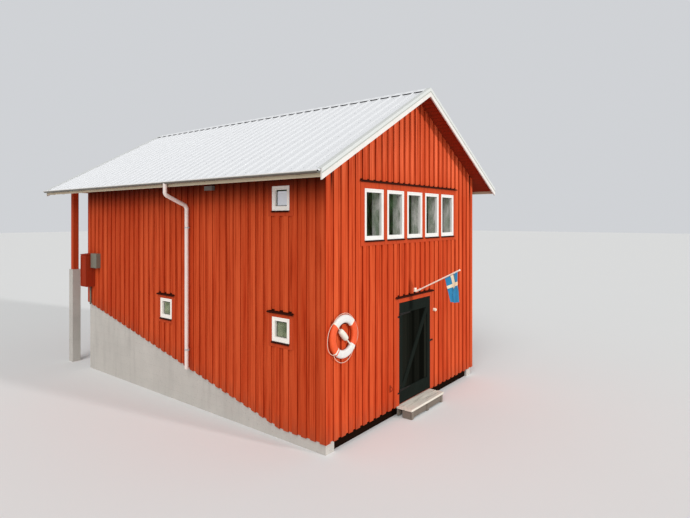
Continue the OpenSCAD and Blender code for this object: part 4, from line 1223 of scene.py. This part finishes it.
def closers(across, base, top, start, end):
    """Blocks on both slopes: across gives the four places along the house of each block's section, base and
    top its depth over the roof boards, and start and end its way down the slope."""
    lift = np.array([base, base, top, top])
    shapes = []
    for side in (-1.0, 1.0):
        out, slope = slope_directions(side)
        rings = []
        for run in (start, end):
            spine = RIDGE + run * slope + lift[:, None] * out
            ring = np.broadcast_to(spine, (len(across), 4, 3)).copy()
            ring[:, :, 1] = across
            rings.append(ring)
        if side < 0:
            rings.reverse()
        shapes.append(prisms(*rings))
    return shapes


# Lifebuoy


class BOATHOUSE_OT_lifebuoy(Operator):
    """Lifebuoy with its bands, the laid grab line in four loops, the float and its cord"""

    bl_idname = "boathouse.lifebuoy"
    bl_label = "Lifebuoy"

    def execute(self, context):
        a, b = low("lifebuoy"), high("lifebuoy")
        centre = (a + b) / 2
        outer = (b[0] - a[0]) / 2
        deep = (b[1] - a[1]) / 2
        wide = outer - (high("lifebuoy_hook")[2] - PLATE_HALF + PEG_RADIUS - centre[2])
        middle = outer - wide / 2
        sides, inset = 240, 0.0004
        shell = buoy_skin(centre, middle, wide / 2 - inset, deep - inset, angles(sides), np.ones(sides), True)
        add_piece("lifebuoy_ring", shell, "buoy_shell", smooth=True, replaces=["lifebuoy"])
        bands = []
        swell = 1 + np.array([-0.015, 0.03, 0.045, 0.045, 0.045, 0.03, -0.015])
        for at in np.radians(BAND_ANGLES):
            turn = at + np.linspace(-0.05, 0.05, len(swell))
            bands.append(buoy_skin(centre, middle, wide / 2, deep, turn, swell, False))
        add_piece("lifebuoy_bands", many(bands), "foam", smooth=True)
        self.grab_line(centre, outer)
        self.throw_float(centre, middle, wide / 2)
        return {"FINISHED"}

    def grab_line(self, centre, outer):
        """Four loops between the bands: the reach grows with the sine of the way along, and weight pulls
        them down."""
        share = np.linspace(0.0, 1.0, 120)
        swell = np.sin(np.pi * share)
        loops = []
        for at, slack, fall, power in LOOPS:
            arc = np.radians(at - 45.0 + 90.0 * share)
            reach = outer + 0.0055 + slack * swell ** power
            x = centre[0] + reach * np.cos(arc)
            z = centre[2] + reach * np.sin(arc) - fall * swell
            y = centre[1] + 0.004 * np.sin(3 * np.pi * share)
            path = np.stack([x, y, z], 1)
            loops.append(tube(path, (0, 1, 0), 0.0048, sides=12, strands=3, lay=210.0, depth=0.16))
        add_piece("grab_line", many(loops), "rope", smooth=True, replaces=["lifebuoy_line"])

    def throw_float(self, centre, middle, half_wide):
        """Barrel of foam on a slant, turned about its own axis, held by a neck below and a cord above."""
        a, b = low("lifebuoy_float"), high("lifebuoy_float")
        axis = np.array([1.0, 0.0, -1.0]) / math.sqrt(2)
        largest = (b[1] - a[1]) / 2
        start = np.array([centre[0], (a[1] + b[1]) / 2, centre[2]])
        reach = middle - half_wide
        body_low, body_high = -0.175, 0.075
        share = np.linspace(-1, 1, 41)
        barrel = largest * (1 - 0.16 * share ** 2 - 0.05 * (share < 0) * share ** 2)
        rounded = (1 - np.abs(share) ** 14) ** 0.5
        radii = np.maximum(0.006, barrel * rounded)
        steps = (body_low + body_high) / 2 + share * (body_high - body_low) / 2
        body = turned(start, axis, (0, 1, 0), radii, steps, sides=36)
        into_body, off_ring = 0.01, 0.001
        neck_steps = [body_high - into_body, body_high + 0.02, reach - 0.012, reach - off_ring]
        neck = turned(start, axis, (0, 1, 0), [0.011, 0.0125, 0.0125, 0.011], neck_steps, sides=18)
        cord_radius, cord_steps = 0.006, [off_ring - reach, body_low + into_body]
        cord = turned(start, axis, (0, 1, 0), [cord_radius, cord_radius], cord_steps, sides=12)
        add_piece("throw_float", many([body, neck, cord]), "foam", smooth=True,
            replaces=["lifebuoy_float"])


def buoy_skin(centre, middle, half_wide, half_deep, turn, scale, closed):
    """Skin of a flat ring: at each angle of turn stands a rounded section, flat before and behind, whose
    edges are half circles of the half depth. Scale widens it."""
    arc = np.linspace(-np.pi / 2, np.pi / 2, 13)
    flat = half_wide - half_deep
    out = np.concatenate([flat + half_deep * np.cos(arc), -flat - half_deep * np.cos(arc)])
    deep = np.concatenate([half_deep * np.sin(arc), -half_deep * np.sin(arc)])
    reach = middle + scale[:, None] * out
    points = np.stack([
        centre[0] + reach * np.cos(turn)[:, None],
        centre[1] + scale[:, None] * deep,
        centre[2] + reach * np.sin(turn)[:, None]], 2)
    return loft(points, closed)


# Flag


class BOATHOUSE_OT_flag(Operator):
    """Flag that hangs from the pole with one pleat: along each row the cloth turns by an angle that is a
    bump, so each row keeps its length, and the bump grows from the top down and moves to the middle"""

    bl_idname = "boathouse.flag"
    bl_label = "Flag"

    def execute(self, context):
        a, b = low("flag"), high("flag")
        hoist, down = 0.345, 0.590
        rows, columns = 110, 120
        u, v = np.meshgrid(np.linspace(0, 1, columns), np.linspace(0, 1, rows))
        centre = 0.71 - 0.20 * smooth_step((v - 0.36) / 0.30)
        bump = np.exp(-((u - centre) / 0.115) ** 4)
        ripple = 0.30 * np.clip(2.2 * v, 0.0, 1.0) * np.sin(13.0 * u + 1.5 + 2.0 * v)
        step = hoist / (columns - 1)
        wanted = hoist * (0.97 - 0.30 * v[:, 0])
        turn = ripple + pleat_turns(bump, ripple, wanted, step)[:, None] * bump
        start = np.zeros((rows, 1))
        gone, aside = (step * np.concatenate([start, np.cumsum(way(turn[:, 1:]), axis=1)], axis=1)
            for way in (np.cos, np.sin))
        left = gone[:, -1:] - gone
        rise = np.radians(POLE_RISE * (1 - 0.5 * smooth_step(v)))
        top_y, top_z = a[1] + 0.055, b[2] - 0.003
        y = top_y - (top_y - a[1] - 0.012) * v + left * np.cos(rise)
        z = top_z - v * (down - 0.004) - left * np.sin(rise)
        z = np.maximum(z, a[2] + 0.003)
        middle_x = (low("flagpole")[0] + high("flagpole")[0]) / 2
        x = middle_x - aside + aside.mean(axis=1, keepdims=True)
        points = np.stack([x, y, z], 2).reshape(-1, 3)
        flag = add_piece("flag_cloth", (points, [grid_faces(rows, columns)]), "flag_cloth", smooth=True,
            replaces=["flag"])
        layer = flag.data.uv_layers.new(name="cloth")
        corner = np.zeros(len(flag.data.loops), np.int32)
        flag.data.loops.foreach_get("vertex_index", corner)
        uv = np.stack([u.ravel(), v.ravel()], 1)[corner]
        layer.data.foreach_set("uv", uv.astype(np.float32).ravel())
        thick = flag.modifiers.new("thickness", "SOLIDIFY")
        thick.thickness = 0.0012
        thick.offset = 0.0
        return {"FINISHED"}


def pleat_turns(bump, ripple, wanted, step):
    """Turn of the pleat in each row with which the row is as wide as wanted: the width is the sum of the
    cosines of the angles, tabled for turns from nothing to 2.6 radians, and read off between them."""
    tried = np.linspace(0.0, 2.6, 80)
    widths = step * np.cos(ripple[None] + tried[:, None, None] * bump[None])[:, :, 1:].sum(axis=2)
    widths = np.minimum.accumulate(widths, axis=0)
    return np.array([np.interp(-goal, -row, tried) for goal, row in zip(wanted, widths.T)])


def smooth_step(t):
    """0 below 0, 1 above 1 and 3 t^2 - 2 t^3 between."""
    t = np.clip(t, 0.0, 1.0)
    return t * t * (3.0 - 2.0 * t)


# Step


class BOATHOUSE_OT_step(Operator):
    """Weathered planks, legs and boards of the step with rounded, worn edges and nail heads"""

    bl_idname = "boathouse.step"
    bl_label = "Door step"

    def execute(self, context):
        draws = np.random.default_rng(3)
        x0, leg_x0, leg_x1, mid_x0, mid_x1, last_x0, last_x1, x1 = levels("door_step", 0)
        y = levels("door_step", 1)
        front, leg_front, board_front, board_back, plank_back, plank_front, leg_back, rail_front, wall = y
        ground, board_low, under, top = levels("door_step", 2)
        pieces = [((x0, front, under), (x1, plank_back, top)), ((x0, plank_front, under), (x1, wall, top))]
        for a, b in ((leg_x0, leg_x1), (mid_x0, mid_x1), (last_x0, last_x1)):
            pieces.append(((a, leg_front, ground), (b, leg_back, under)))
        pieces.append(((leg_x0, board_front - 0.0005, board_low), (last_x1, board_back, under)))
        pieces.append(((leg_x0, rail_front, board_low), (last_x1, wall, under)))
        shapes, tones = [], []
        for i, (a, b) in enumerate(pieces):
            shapes.append(worn_block(np.array(a), np.array(b), draws))
            # Painted shade: the legs and boards under the planks get a low tone, which darkens them
            tone = draws.uniform(0.8, 1.0) if i < 2 else draws.uniform(0.0, 0.12)
            tones.append(np.full(len(shapes[-1][0]), tone))
        add_piece("step_planks", many(shapes), "step_wood", replaces=["door_step"],
            attributes={"tone": np.concatenate(tones)})
        nails = [(x, d, top) for x in (leg_x0 + 0.03, (mid_x0 + mid_x1) / 2, last_x1 - 0.03)
            for d in (front + 0.04, plank_back - 0.04, plank_front + 0.04, wall - 0.03)]
        add_piece("step_nails", domes(nails, (0, 0, 1), 0.005, 0.002), "iron", smooth=True)
        return {"FINISHED"}


def worn_block(a, b, draws):
    """A plank along its longest side: rings of a rounded rectangle, whose edge wears in and out a little."""
    size = b - a
    long_axis = int(np.argmax(size))
    others = [i for i in range(3) if i != long_axis]
    count = max(8, int(size[long_axis] / 0.03))
    share = np.linspace(0, 1, count)
    radius = min(0.006, 0.3 * size[others].min())
    turn = np.linspace(0, np.pi / 2, 4)
    arc = np.stack([np.cos(turn), np.sin(turn)], 1)
    corners = []
    for sx, sy, rotate in ((1, 1, 0), (-1, 1, 1), (-1, -1, 2), (1, -1, 3)):
        c, s = math.cos(rotate * math.pi / 2), math.sin(rotate * math.pi / 2)
        spun = arc @ np.array([[c, s], [-s, c]])
        corners.append(np.array([sx, sy]) * (size[others] / 2 - radius) + radius * spun)
    ring = np.concatenate(corners)
    wear = 1 - 0.004 * np.abs(draws.normal(0, 1, (count, len(ring), 1)))
    end = np.minimum(1.0, np.minimum(share, 1 - share) * size[long_axis] / 0.004)
    shrink = 1 - 0.06 * (1 - end[:, None, None])
    points = np.zeros((count, len(ring), 3))
    middle = (a + b) / 2
    cross = ring[None] * wear * shrink
    points[..., others[0]] = middle[others[0]] + cross[..., 0]
    points[..., others[1]] = middle[others[1]] + cross[..., 1]
    points[..., long_axis] = (a[long_axis] + share * size[long_axis])[:, None]
    points, faces = loft(points)
    if long_axis == 1:
        faces = [f[:, ::-1] for f in faces]
    return points, faces


# Small fittings


class BOATHOUSE_OT_fittings(Operator):
    """Frame on the cabinet's door, lid of the meter box, conduit and wall hook"""

    bl_idname = "boathouse.fittings"
    bl_label = "Small fittings"

    def execute(self, context):
        a, b = low("meter_cabinet"), high("meter_cabinet")
        frame_w, proud, lid_edge = 0.045, 0.012, 0.018
        beside, below, above = 0.02, 0.03, 0.06
        x = a[0] + lid_edge
        ring_low = (x - proud, a[1] + beside, a[2] + below)
        ring = board_ring(ring_low, (x, b[1] - beside, b[2] - above), 0, frame_w)
        add_piece("cabinet_door", boxes(*ring), "cabinet_red")
        box_low, box_high = low("meter_box"), high("meter_box")
        rim, lid_proud, lid_sunk = 0.012, 0.004, 0.002
        lid_low = (box_low[0] - lid_proud, box_low[1] + rim, box_low[2] + rim)
        lid = boxes(lid_low, (box_low[0] + lid_sunk, box_high[1] - rim, box_high[2] - rim))
        add_piece("meter_lid", lid, "meter_grey")
        pipe_away, pipe_radius = 0.045, 0.022
        pipe_x, pipe_y = -WALL_X - pipe_away, (a[1] + b[1]) / 2
        path = np.array([(pipe_x, pipe_y, z) for z in np.linspace(REAR_FOOT_Z - 0.05, a[2] + 0.01, 6)])
        conduit = tube(path, (0, 1, 0), pipe_radius, sides=14)
        add_piece("cabinet_conduit", conduit, "meter_grey", smooth=True)
        hook_x, hook_z, half_w, half_h = -0.937, 0.62, 0.018, 0.07
        over_boards = 0.022
        y = FRONT_Y - over_boards
        plate_low = (hook_x - half_w, y - 0.006, hook_z - half_h)
        plate = boxes(plate_low, (hook_x + half_w, y + 0.004, hook_z + half_h))
        bend = np.linspace(0, np.pi, 16)
        reach = y - 0.004 - 0.05 * np.sin(bend)
        path = np.stack([np.full(16, hook_x), reach, hook_z + 0.045 * np.cos(bend)], 1)
        hook = many([plate, tube(path, (1, 0, 0), 0.008, sides=10)])
        add_piece("wall_hook", hook, "hook_paint")
        return {"FINISHED"}


# Frame and stage


class BOATHOUSE_OT_paint(Operator):
    """Gives each node of the frame its finish"""

    bl_idname = "boathouse.paint"
    bl_label = "Paint the frame"

    def execute(self, context):
        finishes = {node: name for name, nodes in FINISH_NODES.items() for node in nodes.split()}
        missing = sorted(set(NODES) - set(finishes))
        if missing:
            raise RuntimeError(f"nodes without a finish: {missing}")
        for name, node in NODES.items():
            for slot in node.material_slots:
                slot.material = finish(finishes[name])
        return {"FINISHED"}


class BOATHOUSE_OT_stage(Operator):
    """Camera, plain floor, pale backdrop and soft lights"""

    bl_idname = "boathouse.stage"
    bl_label = "Stage"

    def execute(self, context):
        stage = context.scene.boathouse_stage
        camera = bpy.data.objects.new("camera", bpy.data.cameras.new("camera"))
        camera.location = stage.camera_place
        camera.rotation_euler = (math.pi / 2, 0.0, stage.camera_turn)
        camera.data.lens = stage.lens
        camera.data.sensor_width = 36.0
        camera.data.shift_y = stage.shift
        camera.data.clip_end = 500.0
        context.scene.collection.objects.link(camera)
        context.scene.camera = camera
        half = 150.0
        spots = np.linspace(-half, half, 3)
        x, y = np.meshgrid(spots, spots)
        points = np.stack([x, y, np.zeros_like(x)], 2).reshape(-1, 3)
        floor = add_mesh("stage_floor", (points, [grid_faces(3, 3)]), "stage_floor")
        self.sun("key", (0.20, -0.95, 0.22), stage.key, 4.0)
        self.sun("fill", (-0.62, -0.30, 0.72), stage.fill, 40.0)
        self.sun("side", (-0.80, -0.45, 0.40), stage.side, 30.0)
        self.backdrop(context, stage)
        context.scene.view_settings.view_transform = "Standard"
        return {"FINISHED"}

    def sun(self, name, towards, strength, spread):
        """A sun that shines from the direction towards."""
        lamp = bpy.data.lights.new(name, "SUN")
        lamp.energy = strength
        lamp.angle = math.radians(spread)
        sun = bpy.data.objects.new(name, lamp)
        bpy.context.scene.collection.objects.link(sun)
        sun.rotation_euler = Vector(towards).to_track_quat("Z", "Y").to_euler()

    def backdrop(self, context, stage):
        """World light: a plain level for the surfaces, a pale colour for what the camera and gloss see."""
        world = bpy.data.worlds.new("backdrop")
        context.scene.world = world
        world.use_nodes = True
        nodes, links = world.node_tree.nodes, world.node_tree.links
        nodes.clear()
        output = nodes.new("ShaderNodeOutputWorld")
        light, seen = nodes.new("ShaderNodeBackground"), nodes.new("ShaderNodeBackground")
        light.inputs["Color"].default_value = (0.95, 0.98, 1.0, 1.0)
        light.inputs["Strength"].default_value = stage.ambient
        seen.inputs["Color"].default_value = (*stage.backdrop, 1.0)
        rays = nodes.new("ShaderNodeLightPath")
        first, second = nodes.new("ShaderNodeMath"), nodes.new("ShaderNodeMath")
        first.operation = second.operation = "MAXIMUM"
        mix = nodes.new("ShaderNodeMixShader")
        for source, target in (
                (rays.outputs["Is Camera Ray"], first.inputs[0]),
                (rays.outputs["Is Glossy Ray"], first.inputs[1]),
                (first.outputs[0], second.inputs[0]),
                (rays.outputs["Is Transmission Ray"], second.inputs[1]),
                (second.outputs[0], mix.inputs[0]),
                (light.outputs[0], mix.inputs[1]),
                (seen.outputs[0], mix.inputs[2]),
                (mix.outputs[0], output.inputs["Surface"])):
            links.new(source, target)


class BOATHOUSE_PT_sidebar(Panel):
    """Lists the operators and the sizes and colours they use"""

    bl_idname = "BOATHOUSE_PT_sidebar"
    bl_label = "Boathouse"
    bl_space_type = "VIEW_3D"
    bl_region_type = "UI"
    bl_category = "Boathouse"

    def draw(self, context):
        for operator in OPERATORS:
            self.layout.operator(operator.bl_idname)
        scene = context.scene
        for group in (scene.boathouse_boards, scene.boathouse_colours, scene.boathouse_stage):
            box = self.layout.box()
            for key in group.__annotations__:
                box.prop(group, key)


OPERATORS = (
    BOATHOUSE_OT_stage,
    BOATHOUSE_OT_paint,
    BOATHOUSE_OT_cladding,
    BOATHOUSE_OT_linings,
    BOATHOUSE_OT_door,
    BOATHOUSE_OT_roof_screws,
    BOATHOUSE_OT_rib_closers,
    BOATHOUSE_OT_lifebuoy,
    BOATHOUSE_OT_flag,
    BOATHOUSE_OT_step,
    BOATHOUSE_OT_fittings,
)
CLASSES = (BoathouseBoards, BoathouseColours, BoathouseStage, *OPERATORS, BOATHOUSE_PT_sidebar)


def register():
    for cls in CLASSES:
        bpy.utils.register_class(cls)
    bpy.types.Scene.boathouse_boards = PointerProperty(type=BoathouseBoards)
    bpy.types.Scene.boathouse_colours = PointerProperty(type=BoathouseColours)
    bpy.types.Scene.boathouse_stage = PointerProperty(type=BoathouseStage)


def unregister():
    for name in ("boathouse_boards", "boathouse_colours", "boathouse_stage"):
        delattr(bpy.types.Scene, name)
    for cls in reversed(CLASSES):
        bpy.utils.unregister_class(cls)


def main():
    register()
    for operator in OPERATORS:
        group, name = operator.bl_idname.split(".")
        getattr(getattr(bpy.ops, group), name)()


if __name__ == "__main__":
    main()
